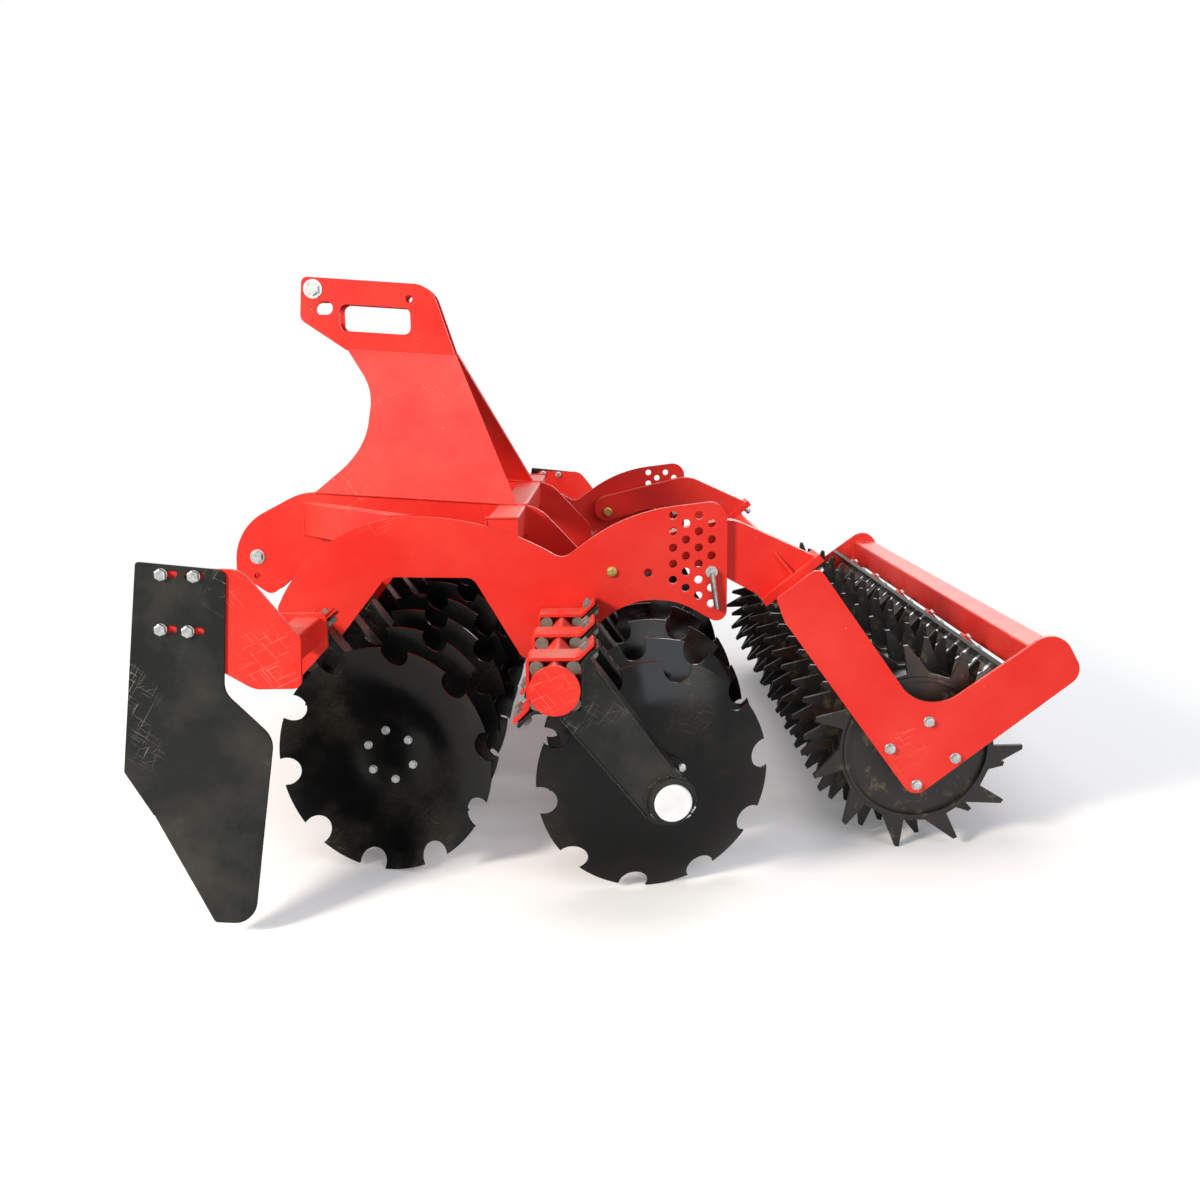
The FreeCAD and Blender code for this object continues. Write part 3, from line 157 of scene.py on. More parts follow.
def makeBlackEnamel():
    # sprayed black gloss on deflectors and arms: thin dust film, rubbed patches and hairline scratches
    spec = blackEnamel
    material, tree, coords = newMaterial("blackGlossEnamel")
    cloud = addNode(tree, "ShaderNodeTexNoise", {"Scale": 1 / 0.200, "Detail": 7.0, "Roughness": 0.62},
                    {"Vector": coords})
    tone = blend(tree, ramp(tree, cloud.outputs["Fac"], 0.45, 0.90), spec["colour"], spec["film"])
    for turned, low in ((58, 0.67), (-34, 0.68), (12, 0.70)):
        tone = blend(tree, hairlines(tree, coords, turned, spec["hair"], low), tone, spec["scratch"])
    shine = addNode(tree, "ShaderNodeMapRange", {"From Min": 0.35, "From Max": 0.80, "To Min": spec["roughness"] - 0.10,
                                                 "To Max": spec["roughness"] + 0.26}, {"Value": cloud.outputs["Fac"]})
    soft = addNode(tree, "ShaderNodeBevel", {"samples": 4, "Radius": 0.0015})
    return finishSurface(material, tree, {"IOR": 1.45, "Specular IOR Level": 0.35},
                         {"Base Color": tone, "Roughness": shine.outputs[0], "Normal": soft.outputs[0]})


discLacquer = {
    "colour": "#070808", "film": "#39342a", "scratch": "#6f6a5c", "roughness": 0.12, "hair": (0.070, 0.070, 0.0010),
}


def makeDiscLacquer():
    # dipped black lacquer on pressed boron steel: near-mirror gloss under a thin brown dust film
    spec = discLacquer
    material, tree, coords = newMaterial("blackDiscLacquer")
    blots = addNode(tree, "ShaderNodeTexNoise", {"Scale": 1 / 0.240, "Detail": 5.0, "Roughness": 0.55},
                    {"Vector": coords})
    specks = addNode(tree, "ShaderNodeTexNoise", {"Scale": 1 / 0.006, "Detail": 2.0}, {"Vector": coords})
    film = addNode(tree, "ShaderNodeMath", {"operation": "MULTIPLY"},
                   {0: ramp(tree, blots.outputs["Fac"], 0.48, 0.95), 1: ramp(tree, specks.outputs["Fac"], 0.10, 0.60)})
    tone = blend(tree, film.outputs[0], spec["colour"], spec["film"])
    for turned, low in ((40, 0.70), (-20, 0.70)):
        tone = blend(tree, hairlines(tree, coords, turned, spec["hair"], low), tone, spec["scratch"])
    shine = addNode(tree, "ShaderNodeMapRange", {"From Min": 0.40, "From Max": 0.85, "To Min": spec["roughness"],
                                                 "To Max": 0.38}, {"Value": blots.outputs["Fac"]})
    waves = addNode(tree, "ShaderNodeTexNoise", {"Scale": 1 / 0.080, "Detail": 2.0}, {"Vector": coords})
    soft = addNode(tree, "ShaderNodeBevel", {"samples": 4, "Radius": 0.0012})
    bump = addNode(tree, "ShaderNodeBump", {"Strength": 0.10, "Distance": 0.002},
                   {"Height": waves.outputs["Fac"], "Normal": soft.outputs[0]})
    return finishSurface(material, tree, {"IOR": 1.45, "Specular IOR Level": 0.25},
                         {"Base Color": tone, "Roughness": shine.outputs[0], "Normal": bump.outputs[0]})


rollerCoat = {"colour": "#151310", "dust": "#8f7f60", "rust": "#4d3320"}


def makeRollerCoat():
    # black paint on flame-cut toothed rings: soil dust in scattered blots, a little rust in broad patches
    spec = rollerCoat
    material, tree, coords = newMaterial("dustyRollerPaint")
    blots = addNode(tree, "ShaderNodeTexNoise", {"Scale": 1 / 0.045, "Detail": 8.0, "Roughness": 0.68},
                    {"Vector": coords})
    broad = addNode(tree, "ShaderNodeTexNoise", {"Scale": 1 / 0.300, "Detail": 3.0}, {"Vector": coords})
    rust = blend(tree, ramp(tree, broad.outputs["Fac"], 0.56, 0.75), spec["colour"], spec["rust"])
    tone = blend(tree, ramp(tree, blots.outputs["Fac"], 0.55, 0.90), rust, spec["dust"])
    grain = addNode(tree, "ShaderNodeBump", {"Strength": 0.35, "Distance": 0.0015}, {"Height": blots.outputs["Fac"]})
    return finishSurface(material, tree, {"IOR": 1.5, "Roughness": 0.42},
                         {"Base Color": tone, "Normal": grain.outputs[0]})


def makeMetal(name, colour, dark, roughness):
    # plated steel hardware: even sheen with slight clouding
    material, tree, coords = newMaterial(name)
    cloud = addNode(tree, "ShaderNodeTexNoise", {"Scale": 1 / 0.012, "Detail": 4.0}, {"Vector": coords})
    tone = blend(tree, ramp(tree, cloud.outputs["Fac"], 0.35, 0.75), colour, dark)
    return finishSurface(material, tree, {"Metallic": 1.0, "Roughness": roughness}, {"Base Color": tone})


def makePlain(name, colour, dark, roughness, grainSize):
    # moulded or rubbed part with a soft uneven tone
    material, tree, coords = newMaterial(name)
    cloud = addNode(tree, "ShaderNodeTexNoise", {"Scale": 1 / grainSize, "Detail": 5.0}, {"Vector": coords})
    tone = blend(tree, ramp(tree, cloud.outputs["Fac"], 0.45, 0.85), colour, dark)
    return finishSurface(material, tree, {"IOR": 1.5, "Roughness": roughness}, {"Base Color": tone})


finishes = {
    "red_paint": makeRedEnamel(),
    "black_paint": makeBlackEnamel(),
    "disc_black": makeDiscLacquer(),
    "roller_black": makeRollerCoat(),
    "zinc_steel": makeMetal("brightZincSteel", "#c9cccb", "#9a9c9a", 0.32),
    "yellow_zinc": makeMetal("yellowZincSteel", "#cdb06a", "#a58a4c", 0.34),
    "rubber": makePlain("suspensionRubber", "#6f6a5f", "#3c3934", 0.75, 0.020),
    "white_plastic": makePlain("whiteHubCapPlastic", "#f1f2f2", "#dcdcda", 0.35, 0.050),
    "scraper_steel": makePlain("wornScraperSteel", "#77726a", "#4e4a44", 0.50, 0.030),
}
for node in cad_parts.values():
    for index, old in enumerate(node.data.materials):
        node.data.materials[index] = finishes[old.name.split(".")[0]]
print("stage: finishes made")


# Shaping helpers

def pickFaces(piece, test):
    bpy.ops.object.mode_set(mode="EDIT")
    bpy.ops.mesh.select_mode(type="FACE")
    bpy.ops.mesh.select_all(action="DESELECT")
    bpy.ops.object.mode_set(mode="OBJECT")
    for face in piece.data.polygons:
        face.select = test(face)
    bpy.ops.object.mode_set(mode="EDIT")


def topChamfer(piece, width, rise):
    # the top face drawn in and up, which leaves a sloping edge round it
    pickFaces(piece, lambda face: face.normal.z > 0.9)
    bpy.ops.mesh.inset(thickness=width, depth=rise)
    bpy.ops.object.mode_set(mode="OBJECT")


def joined(name, pieces):
    deselectAll()
    for piece in pieces:
        piece.select_set(True)
    bpy.context.view_layer.objects.active = pieces[0]
    bpy.ops.object.join()
    whole = bpy.context.view_layer.objects.active
    whole.name = name
    bpy.ops.object.transform_apply(location=True, rotation=True, scale=True)
    deselectAll()
    return whole


def stoodOn(point, axis):
    # a piece made along +Z from the origin, put on a point and turned along an axis
    turned = Vector((0, 0, 1)).rotation_difference(Vector(axis)).to_matrix().to_4x4()
    return Matrix.Translation(Vector(point)) @ turned


def spread(name, master, places, slotName, body, material=None):
    # one piece made of copies of a master, each with its own mesh
    copies = []
    for place in places:
        copy = master.copy()
        copy.data = master.data.copy()
        copy.data.transform(place)
        bpy.context.scene.collection.objects.link(copy)
        copies.append(copy)
    whole = joined(name, copies)
    whole.data.materials.clear()
    whole.data.materials.append(material or finishes[slotName])
    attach(whole, body)
    return whole


def makeHexBolt(spec):
    # washer with a chamfered hexagon head on it, made along +Z from the clamped face
    deselectAll()
    thick = spec["washerThick"]
    edge = spec["chamfer"]
    bpy.ops.mesh.primitive_cylinder_add(vertices=18, radius=spec["washer"] / 2, depth=thick - edge / 2,
                                        location=(0, 0, (thick - edge / 2) / 2))
    washer = bpy.context.object
    topChamfer(washer, edge / 2, edge / 2)
    deselectAll()
    tall = spec["head"] - edge
    bpy.ops.mesh.primitive_cylinder_add(vertices=6, radius=spec["corners"] / 2, depth=tall,
                                        location=(0, 0, thick + tall / 2))
    head = bpy.context.object
    topChamfer(head, edge * 1.5, edge)
    return joined(spec["name"], [washer, head])


def away(master):
    bpy.data.objects.remove(master)


# Hub bolts in the dish of each disc, nuts behind the flange

hubBolt = {"name": "hubBolt", "corners": 0.0210, "head": 0.0080, "chamfer": 0.0012,
           "washer": 0.0230, "washerThick": 0.0020}
hubNut = {"name": "hubNut", "corners": 0.0210, "head": 0.0050, "chamfer": 0.0010,
          "washer": 0.0220, "washerThick": 0.0010}
discLayout = {
    "perRow": 10, "pitch": 0.250, "rimHeight": 0.304934, "angle": 13, "lean": 3, "boltRadius": 0.0685,
    "frontX": 0.6404, "frontFirst": 1.123, "frontTurn": 10.7, "rearX": -0.0776, "rearFirst": 1.252, "rearTurn": 7.6,
    "turnStep": 7, "turnRange": 21.6, "dishFace": -0.052, "flangeBack": -0.0663,
}


def restTurn(first, index):
    half = discLayout["turnRange"] / 2
    return (first + discLayout["turnStep"] * index + half) % discLayout["turnRange"] - half


def discPlace(row, index):
    spec = discLayout
    facing = -spec["angle"] if row == "front" else 180 + spec["angle"]
    rolled = restTurn(spec[row + "Turn"], index) * (1 if row == "front" else -1)
    centre = Vector((spec[row + "X"], spec[row + "First"] - spec["pitch"] * index, spec["rimHeight"]))
    turned = Matrix.Rotation(math.radians(facing), 4, "Z") @ Matrix.Rotation(math.radians(spec["lean"]), 4, "X")
    return Matrix.Translation(centre) @ turned @ Matrix.Rotation(math.radians(rolled), 4, "Y")


hubBoltMaster = makeHexBolt(hubBolt)
hubNutMaster = makeHexBolt(hubNut)
for row in ("front", "rear"):
    for index in range(discLayout["perRow"]):
        placed = discPlace(row, index)
        heads, nuts = [], []
        for step in range(6):
            around = math.radians(60 * step)
            across = discLayout["boltRadius"] * math.sin(around)
            up = discLayout["boltRadius"] * math.cos(around)
            heads.append(placed @ stoodOn((across, discLayout["dishFace"], up), (0, 1, 0)))
            nuts.append(placed @ stoodOn((across, discLayout["flangeBack"], up), (0, -1, 0)))
        label = "disc_%s_%02d" % (row, index + 1)
        spread("hubBolts_%s_%02d" % (row, index + 1), hubBoltMaster, heads, "zinc_steel", label)
        spread("hubNuts_%s_%02d" % (row, index + 1), hubNutMaster, nuts, "zinc_steel", label)
away(hubBoltMaster)
away(hubNutMaster)
print("stage: hub bolts placed")


# Clamp bolts, two through each flange of a clamp

beams = {"frontX": 0.881, "rearX": 0.163, "height": 0.588, "frontFirst": 1.000, "rearFirst": 1.375}
clampBolt = {"name": "clampBolt", "corners": 0.0240, "head": 0.0095, "chamfer": 0.0015,
             "washer": 0.0270, "washerThick": 0.0025}
clampLayout = {"out": 0.080, "apart": 0.024, "face": 0.011}

clampMaster = makeHexBolt(clampBolt)
clampHeads = []
root = math.sqrt(0.5)  # the clamps stand on edge, so their flanges face 45 degrees
for row in ("front", "rear"):
    for index in range(discLayout["perRow"]):
        armY = beams[row + "First"] - discLayout["pitch"] * index
        for side in (-1, 1):
            for shift in (-clampLayout["apart"], clampLayout["apart"]):
                for facing in (-1, 1):
                    off = clampLayout["face"] * root * facing
                    point = (beams[row + "X"] + side * clampLayout["out"] + off, armY + shift,
                             beams["height"] - side * clampLayout["out"] + off)
                    clampHeads.append(stoodOn(point, (root * facing, 0, root * facing)))
spread("clampBolts", clampMaster, clampHeads, "scraper_steel", "frame")
away(clampMaster)
print("stage: clamp bolts placed")


# Deflector bolts, seated in the slots

deflectorBolt = {"name": "deflectorBolt", "corners": 0.0277, "head": 0.0100, "chamfer": 0.0016,
                 "washer": 0.0285, "washerThick": 0.0022}
deflectorPlaces = ((0.170, 0.282), (0.096, 0.277), (0.181, 0.154), (0.119, 0.149))
deflectorFaces = {"outside": 1.466, "inside": 1.450}

deflectorMaster = makeHexBolt(deflectorBolt)
deflectorSpots = []
for beamX, side in ((beams["frontX"], 1), (beams["rearX"], -1)):
    for x, z in deflectorPlaces:
        for face, way in ((deflectorFaces["outside"], side), (deflectorFaces["inside"], -side)):
            deflectorSpots.append(stoodOn((beamX + x, side * face, beams["height"] + z), (0, way, 0)))
spread("deflectorBolts", deflectorMaster, deflectorSpots, "zinc_steel", "frame")
away(deflectorMaster)


# Bearing bolts through the roller side plates

bearingBolt = {"name": "bearingBolt", "corners": 0.0250, "head": 0.0100, "chamfer": 0.0014,
               "washer": 0.0300, "washerThick": 0.0025}
bearingFace = 1.070
bearingPlaces = ((-0.731, 0.308), (-0.833, 0.384), (-0.910, 0.280), (-0.808, 0.204))

bearingMaster = makeHexBolt(bearingBolt)
spread("bearingBolts", bearingMaster,
       [stoodOn((x, side * bearingFace, z), (0, side, 0)) for x, z in bearingPlaces for side in (1, -1)],
       "zinc_steel", "roller_frame")
away(bearingMaster)


# Flange bolts between the roller arms and the roller's cross beam

flangeBolt = {"name": "flangeBolt", "corners": 0.0220, "head": 0.0090, "chamfer": 0.0014,
              "washer": 0.0240, "washerThick": 0.0020}
flange = {"high": Vector((-0.580, 0, 0.797)), "low": Vector((-0.417, 0, 0.665)), "armY": 0.7675,
          "edge": 0.026, "side": 0.0425, "thick": 0.024}

flangeRun = (flange["low"] - flange["high"]).normalized()
flangeOut = Vector((flangeRun.z, 0, -flangeRun.x))
flangeMaster = makeHexBolt(flangeBolt)
flangePlaces = []
for side in (1, -1):
    for shift in (flange["side"], -flange["side"]):
        for start, way in ((flange["high"], 1), (flange["low"], -1)):
            point = start + flangeRun * (flange["edge"] * way) + Vector((0, side * flange["armY"] + shift, 0))
            flangePlaces.append(stoodOn(point, -flangeOut))
            flangePlaces.append(stoodOn(point + flangeOut * flange["thick"], flangeOut))
spread("rollerFlangeBolts", flangeMaster, flangePlaces, "zinc_steel", "roller_frame")
away(flangeMaster)


# Hitch pins and pivot bolts: a turned shank with washer and hexagon at each end

hitchPins = {
    # each end: where its seat lies, its way out, the width over corners, the washer and how thick both are
    "top_link_pin": {"shank": 0.0254, "at": (1.033, 1.619), "sides": (1,), "slot": "zinc_steel",
                     "ends": ((0.046, 1, 0.046, 0.066, 0.010), (-0.046, -1, 0.046, 0.066, 0.010))},
    "lower_link_pins": {"shank": 0.0280, "at": (1.156, 0.755), "sides": (1, -1), "slot": "zinc_steel",
                        "ends": ((0.445, 1, 0.038, 0.048, 0.010), (0.360, -1, 0.038, 0.048, 0.010))},
    "pivot_bolts": {"shank": 0.0250, "at": (0.022, 0.760), "sides": (1, -1), "slot": "yellow_zinc",
                    "ends": ((0.820, 1, 0.028, 0.030, 0.010), (0.7295, -1, 0.037, 0.038, 0.018))},
}


def makeHitchPin(name, spec):
    x, z = spec["at"]
    pieces = []
    for y, way, corners, washer, thick in spec["ends"]:
        head = makeHexBolt({"name": name + "Head", "corners": corners, "head": thick - 0.003, "chamfer": 0.0014,
                            "washer": washer, "washerThick": 0.003})
        for side in spec["sides"]:
            copy = head.copy()
            copy.data = head.data.copy()
            copy.data.transform(stoodOn((x, y * side, z), (0, way * side, 0)))
            bpy.context.scene.collection.objects.link(copy)
            pieces.append(copy)
        away(head)
    for side in spec["sides"]:
        first, last = spec["ends"][1][0] * side, spec["ends"][0][0] * side
        deselectAll()
        bpy.ops.mesh.primitive_cylinder_add(vertices=32, radius=spec["shank"] / 2, depth=abs(last - first),
                                            location=(x, (first + last) / 2, z), rotation=(math.pi / 2, 0, 0))
        bpy.ops.object.transform_apply(location=True, rotation=True, scale=True)
        pieces.append(bpy.context.object)
    whole = joined(name + "Detailed", pieces)
    bpy.context.view_layer.objects.active = whole
    bpy.ops.object.shade_smooth_by_angle(angle=math.radians(30))
    whole.data.materials.clear()
    whole.data.materials.append(finishes[spec["slot"]])
    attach(whole, "frame")
    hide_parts(name)


for pinName, pinSpec in hitchPins.items():
    makeHitchPin(pinName, pinSpec)
print("stage: hitch pins and pivot bolts made")


# Rib on the outer face of each roller arm, widening down to its flange

armRib = {"long": 0.095, "tall": 0.022, "thick": 0.008, "tip": 0.003, "faceY": 0.7975, "from": 0.45}


def makeArmRibs():
    middle = flange["high"].lerp(flange["low"], armRib["from"])
    pieces = []
    for side in (1, -1):
        deselectAll()
        bpy.ops.mesh.primitive_cube_add(size=1, scale=(armRib["long"], armRib["tall"], armRib["thick"]),
                                        location=(armRib["long"] / 2, side * armRib["tall"] / 2, 0))
        rib = bpy.context.object
        bpy.ops.object.transform_apply(location=True, rotation=True, scale=True)
        bpy.ops.object.mode_set(mode="EDIT")
        bpy.ops.mesh.select_all(action="DESELECT")
        bpy.ops.object.mode_set(mode="OBJECT")
        for vertex in rib.data.vertices:
            vertex.select = vertex.co.x > armRib["long"] / 2 and abs(vertex.co.y) > armRib["tall"] / 2
        bpy.ops.object.mode_set(mode="EDIT")
        bpy.ops.transform.translate(value=(0, -side * (armRib["tall"] - armRib["tip"]), 0))
        bpy.ops.mesh.select_all(action="SELECT")
        bpy.ops.mesh.bevel(offset=0.0008, segments=1)
        bpy.ops.object.mode_set(mode="OBJECT")
        turned = Vector((1, 0, 0)).rotation_difference(-flangeOut).to_matrix().to_4x4()
        rib.data.transform(Matrix.Translation(middle + Vector((0, side * armRib["faceY"], 0))) @ turned)
        pieces.append(rib)
    ribs = joined("rollerArmRibs", pieces)
    ribs.data.materials.clear()
    ribs.data.materials.append(finishes["red_paint"])
    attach(ribs, "roller_frame")


makeArmRibs()


# Scraper bolts and the bolts of the scraper bar's clips

scraperBolt = {"name": "scraperBolt", "corners": 0.0180, "head": 0.0070, "chamfer": 0.0010,
               "washer": 0.0200, "washerThick": 0.0018}
scraperLayout = {"axis": Vector((-0.819, 0, 0.291801)), "angle": 136.5, "barRadius": 0.310, "barThick": 0.012,
                 "half": 0.040, "blade": 0.008, "clip": 0.010, "rings": 22, "span": 2.020, "clips": 5, "clipPitch": 0.362,
                 "boltIn": 0.018, "boltApart": 0.016, "clipAcross": 0.024}

spec = scraperLayout
scraperTurn = math.radians(spec["angle"])
scraperOut = Vector((math.cos(scraperTurn), 0, math.sin(scraperTurn)))
scraperSide = Vector((scraperOut.z, 0, -scraperOut.x))
scraperMaster = makeHexBolt(scraperBolt)
scraperPlaces = []
ringPitch = spec["span"] / (spec["rings"] - 1)
for index in range(spec["rings"] - 1):
    y = spec["span"] / 2 - ringPitch * (index + 0.5)
    point = (spec["axis"] + scraperOut * (spec["barRadius"] - spec["boltIn"])
             - scraperSide * (spec["half"] + spec["blade"]))
    for shift in (-spec["boltApart"], spec["boltApart"]):
        scraperPlaces.append(stoodOn(point + Vector((0, y + shift, 0)), -scraperSide))
for index in range(spec["clips"]):
    y = spec["clipPitch"] * (index - (spec["clips"] - 1) / 2)
    for across in (-spec["clipAcross"], spec["clipAcross"]):
        point = (spec["axis"] + scraperOut * (spec["barRadius"] + spec["barThick"] + spec["clip"])
                 + scraperSide * across)
        scraperPlaces.append(stoodOn(point + Vector((0, y, 0)), scraperOut))
spread("scraperBolts", scraperMaster, scraperPlaces, "zinc_steel", "roller_frame")
away(scraperMaster)
print("stage: roller hardware placed")


# Weld seams: overlapping ripples laid along a line

weld = {"radius": 0.0048, "pitch": 0.0058, "flat": 0.80}


def makeRipple():
    deselectAll()
    bpy.ops.mesh.primitive_uv_sphere_add(segments=8, ring_count=4, radius=weld["radius"])
    ripple = bpy.context.object
    ripple.scale = (0.95, 1.0, weld["flat"])
    bpy.ops.object.transform_apply(scale=True)
    bpy.ops.object.shade_smooth()
    ripple.name = "weldRipple"
    deselectAll()
    return ripple


def layWeld(name, lines, slotName, body):
    runs = []
    for start, end in lines:
        start, end = Vector(start), Vector(end)
        run = rippleMaster.copy()
        run.data = rippleMaster.data.copy()
        bpy.context.scene.collection.objects.link(run)
        bpy.context.view_layer.objects.active = run
        row = run.modifiers.new("ripples", "ARRAY")
        row.count = max(2, int((end - start).length / weld["pitch"]))
        row.use_relative_offset = False
        row.use_constant_offset = True
        row.constant_offset_displace = (weld["pitch"], 0, 0)
        bpy.ops.object.modifier_apply(modifier=row.name)
        turned = Vector((1, 0, 0)).rotation_difference(end - start).to_matrix().to_4x4()
        run.data.transform(Matrix.Translation(start) @ turned)
        runs.append(run)
    whole = joined(name, runs)
    whole.data.materials.clear()
    whole.data.materials.append(finishes[slotName])
    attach(whole, body)
    return whole


def seamsAlong(points):
    return list(zip(points, points[1:]))


rippleMaster = makeRipple()

frameWeld = {
    # plates on the disc beams: where they stand, half their thickness, reach along the beam, foot and top of the seam
    "plateYs": (0.8125, 0.4375, -0.4375, -0.8125), "plateHalf": 0.0075, "reach": 0.062, "foot": 0.002, "top": 0.0640,
    # mast feet on the inner plates, sloping up to the front
    "mastFaces": (0.4480, 0.4265), "mastFrom": 0.325, "mastTo": 0.965, "mastX": 0.951, "mastZ": 0.959, "slope": 3.9,
    # cross tube's centre, half its side and the faces that it meets, then the brace ends
    "tube": (0.336, 0.870, 0.045), "tubeFaces": (0.805, 0.445, 0.430, -0.430, -0.445, -0.805),
    "braceY": 0.445, "brace": ((0.930, 0.824), (1.000, 0.824), (1.000, 0.926), (0.930, 0.926)),
}

spec = frameWeld
plateSeams = []
for plateY in spec["plateYs"]:
    for faceY in (plateY - spec["plateHalf"], plateY + spec["plateHalf"]):
        for beamX in (beams["frontX"], beams["rearX"]):
            top = (beamX, faceY, beams["height"] + spec["top"])
            plateSeams.append(((beamX - spec["reach"], faceY, beams["height"] + spec["foot"]), top))
            plateSeams.append((top, (beamX + spec["reach"], faceY, beams["height"] + spec["foot"])))
mastSlope = math.tan(math.radians(spec["slope"]))
for side in (1, -1):
    for faceY in spec["mastFaces"]:
        low = (spec["mastFrom"], side * faceY, spec["mastZ"] - (spec["mastX"] - spec["mastFrom"]) * mastSlope)
        high = (spec["mastTo"], side * faceY, spec["mastZ"] + (spec["mastTo"] - spec["mastX"]) * mastSlope)
        plateSeams.append((low, high))
x, z, half = spec["tube"]
for faceY in spec["tubeFaces"]:
    corners = [(x - half, faceY, z - half), (x + half, faceY, z - half),
               (x + half, faceY, z + half), (x - half, faceY, z + half)]
    plateSeams += [(corners[place - 1], corners[place]) for place in range(4)]
for side in (1, -1):
    plateSeams += seamsAlong([(x, side * spec["braceY"], z) for x, z in spec["brace"]])
layWeld("frameWelds", plateSeams, "red_paint", "frame")

armWeld = {
    # both edges of an arm, from the beam's centre, the housing behind and below it, and the bare lumps' arc
    "half": 0.030, "edges": (((-0.098, 0.036), (-0.318, -0.272)), ((-0.012, -0.086), (-0.222, -0.341))),
    "reach": 0.269, "housingZ": 0.2983, "ringRadius": 0.060, "ringSteps": 12,
    "lumpRadius": 0.0605, "lumpOut": 0.0305, "lumpAngles": (200, 222, 244, 266, 288, 310, 332),
}


def armRing(x, y, radius, angles):
    return [(x + radius * math.cos(math.radians(angle)), y,
             armWeld["housingZ"] + radius * math.sin(math.radians(angle))) for angle in angles]


spec = armWeld
discTurn = math.tan(math.radians(discLayout["angle"]))
ringAngles = [360 / spec["ringSteps"] * step for step in range(spec["ringSteps"] + 1)]
lumpSeams = []
for row, facing in (("front", 1), ("rear", -1)):
    armSeams = []
    x, z = beams[row + "X"], beams["height"]
    for index in range(discLayout["perRow"]):
        armY = beams[row + "First"] - discLayout["pitch"] * index
        for faceY in (armY - spec["half"], armY + spec["half"]):
            for (startX, startZ), (endX, endZ) in spec["edges"]:
                armSeams.append(((x + startX, faceY, z + startZ), (x + endX, faceY, z + endZ)))
            lean = discTurn * (faceY - armY) * facing
            armSeams += seamsAlong(armRing(x - spec["reach"] + lean, faceY, spec["ringRadius"], ringAngles))
        lumpX = x - spec["reach"] + discTurn * spec["half"] * facing
        lumpSeams += seamsAlong(armRing(lumpX, armY + spec["lumpOut"], spec["lumpRadius"], spec["lumpAngles"]))
    layWeld(row + "ArmWelds", armSeams, "black_paint", "frame")
layWeld("housingWelds", lumpSeams, "zinc_steel", "frame")

rollerWeld = {
    # across the arms' flanges, then round three sides of the rear bar's ends
    "half": 0.030, "inset": 0.012, "barY": 1.058,
    "bar": ((-1.190, 0.489), (-1.113, 0.489), (-1.113, 0.579), (-1.170, 0.579)),
}

spec = rollerWeld
rollerSeams = []
for side in (1, -1):
    for shift in (spec["half"], -spec["half"]):
        y = Vector((0, side * flange["armY"] + shift, 0))
        rollerSeams.append((flange["high"] + flangeRun * spec["inset"] + y, flange["low"] - flangeRun * spec["inset"] + y))
    rollerSeams += seamsAlong([(x, side * spec["barY"], z) for x, z in spec["bar"]])
layWeld("rollerFrameWelds", rollerSeams, "red_paint", "roller_frame")
away(rippleMaster)
print("stage: welds laid")


# Stage: pale floor that fades into the backdrop, soft light and the camera

def backdropRay(tree):
    # 1 where the eye, a mirror or glass looks at the backdrop, 0 for the light that falls on the harrow
    seen = addNode(tree, "ShaderNodeLightPath")
    direct = addNode(tree, "ShaderNodeMath", {"operation": "MAXIMUM"},
                     {0: seen.outputs["Is Camera Ray"], 1: seen.outputs["Is Glossy Ray"]})
    through = addNode(tree, "ShaderNodeMath", {"operation": "MAXIMUM"},
                      {0: direct.outputs[0], 1: seen.outputs["Is Transmission Ray"]})
    return through.outputs[0]


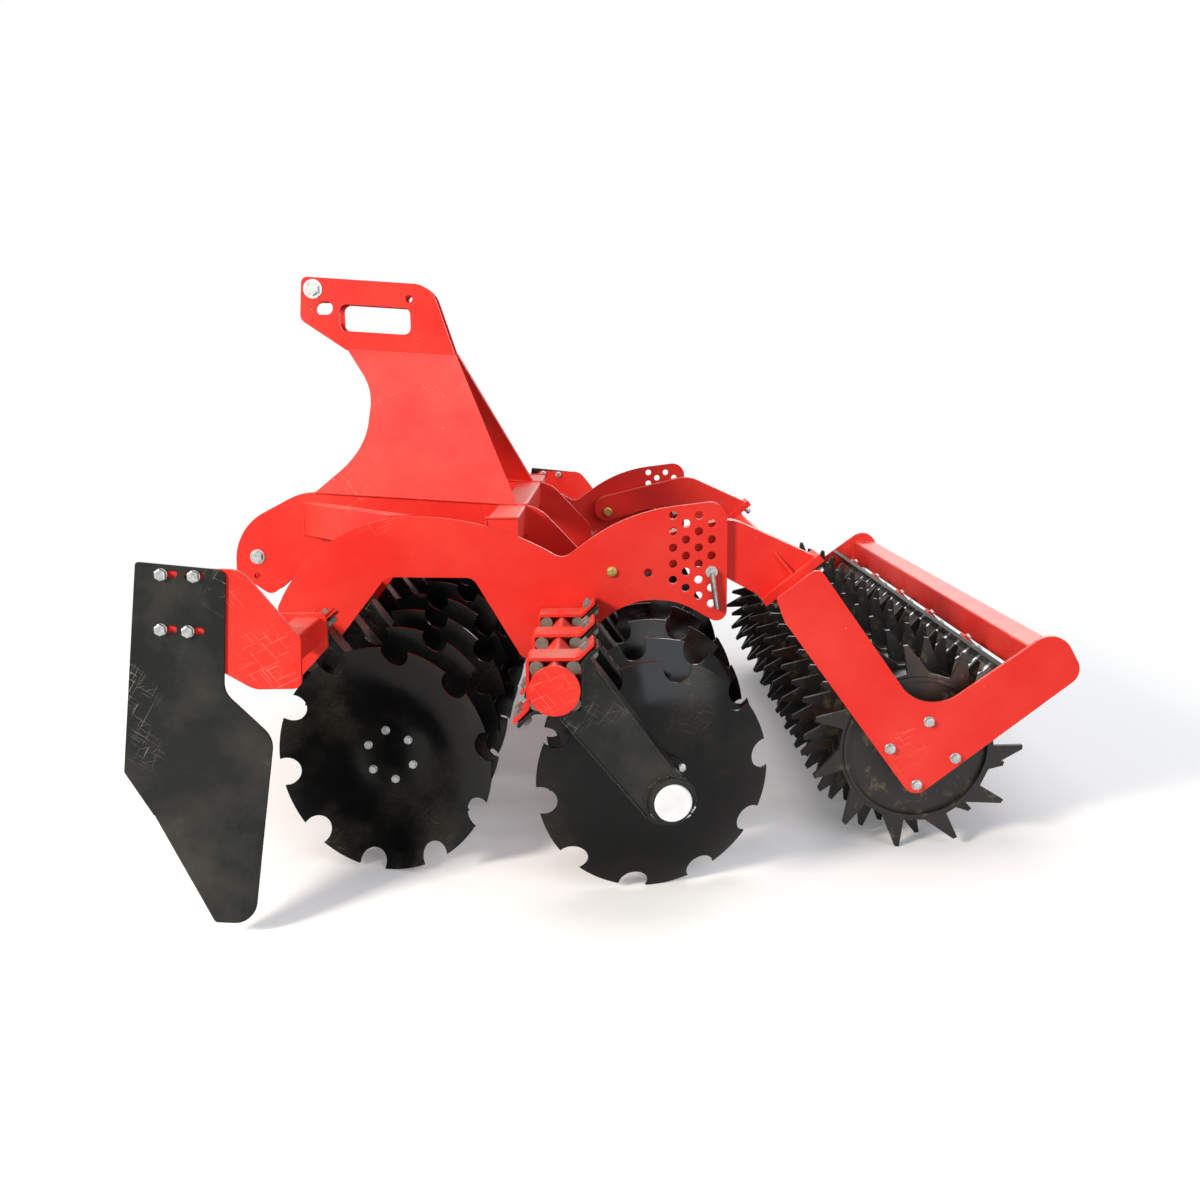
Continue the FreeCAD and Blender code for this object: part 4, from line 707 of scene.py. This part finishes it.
def makeFloor():
    deselectAll()
    bpy.ops.mesh.primitive_plane_add(size=80, location=(0, 0, -0.0005))
    floor = bpy.context.object
    floor.name = "floor"
    material, tree, coords = newMaterial("paleStudioFloor")
    distance = addNode(tree, "ShaderNodeVectorMath", {"operation": "LENGTH"}, {0: coords})
    fade = ramp(tree, distance.outputs["Value"], 1.9, 4.2)
    plain = addNode(tree, "ShaderNodeBsdfDiffuse", {"Color": toLinear("#f2f2f1")})
    lit = addNode(tree, "ShaderNodeEmission", {"Color": (1, 1, 1, 1)}, {"Strength": backdropRay(tree)})
    seen = addNode(tree, "ShaderNodeLightPath")
    lift = addNode(tree, "ShaderNodeMath", {"operation": "MULTIPLY", 1: 0.14}, {0: seen.outputs["Is Camera Ray"]})
    pale = addNode(tree, "ShaderNodeEmission", {"Color": (1, 1, 1, 1)}, {"Strength": lift.outputs[0]})
    near = addNode(tree, "ShaderNodeAddShader", None, {0: plain.outputs[0], 1: pale.outputs[0]})
    both = addNode(tree, "ShaderNodeMixShader", None, {0: fade, 1: near.outputs[0], 2: lit.outputs[0]})
    addNode(tree, "ShaderNodeOutputMaterial", None, {"Surface": both.outputs[0]})
    floor.data.materials.append(material)


def makeWorld():
    world = bpy.data.worlds.new("studio")
    bpy.context.scene.world = world
    world.use_nodes = True
    tree = world.node_tree
    tree.nodes.clear()
    soft = addNode(tree, "ShaderNodeBackground", {"Color": toLinear("#e6eef8"), "Strength": 0.30})
    white = addNode(tree, "ShaderNodeBackground", {"Color": (1, 1, 1, 1), "Strength": 1.0})
    mixed = addNode(tree, "ShaderNodeMixShader", None,
                    {0: backdropRay(tree), 1: soft.outputs[0], 2: white.outputs[0]})
    addNode(tree, "ShaderNodeOutputWorld", None, {"Surface": mixed.outputs[0]})


lamps = {
    "key": {"at": (5.3, 5.4, 3.6), "size": 1.5, "watts": 640, "colour": "#fff6ea"},
    "fill": {"at": (-4.0, 6.0, 3.2), "size": 4.0, "watts": 150, "colour": "#f2f6ff"},
    "top": {"at": (0.0, -0.5, 6.5), "size": 5.0, "watts": 190, "colour": "#ffffff"},
    "back": {"at": (-2.5, -6.0, 4.0), "size": 4.0, "watts": 160, "colour": "#ffffff"},
}


def makeLamps():
    for name, spec in lamps.items():
        light = bpy.data.lights.new(name, "AREA")
        light.size = spec["size"]
        light.energy = spec["watts"]
        light.color = toLinear(spec["colour"])[:3]
        lamp = bpy.data.objects.new(name, light)
        lamp.location = spec["at"]
        lamp.rotation_euler = (Vector((0, 0, 0.6)) - Vector(spec["at"])).to_track_quat("-Z", "Y").to_euler()
        bpy.context.scene.collection.objects.link(lamp)


def makeCamera():
    lens = bpy.data.cameras.new("camera")
    lens.lens = 32.5548
    lens.sensor_width = 36
    camera = bpy.data.objects.new("camera", lens)
    camera.location = (0.0523, 3.8940, 1.2748)
    camera.rotation_euler = [math.radians(angle) for angle in (79.0113, 0.4160, 179.9985)]
    bpy.context.scene.collection.objects.link(camera)
    bpy.context.scene.camera = camera


makeFloor()
makeWorld()
makeLamps()
makeCamera()
bpy.context.scene.view_settings.view_transform = "Standard"
print("stage: floor, light and camera set")
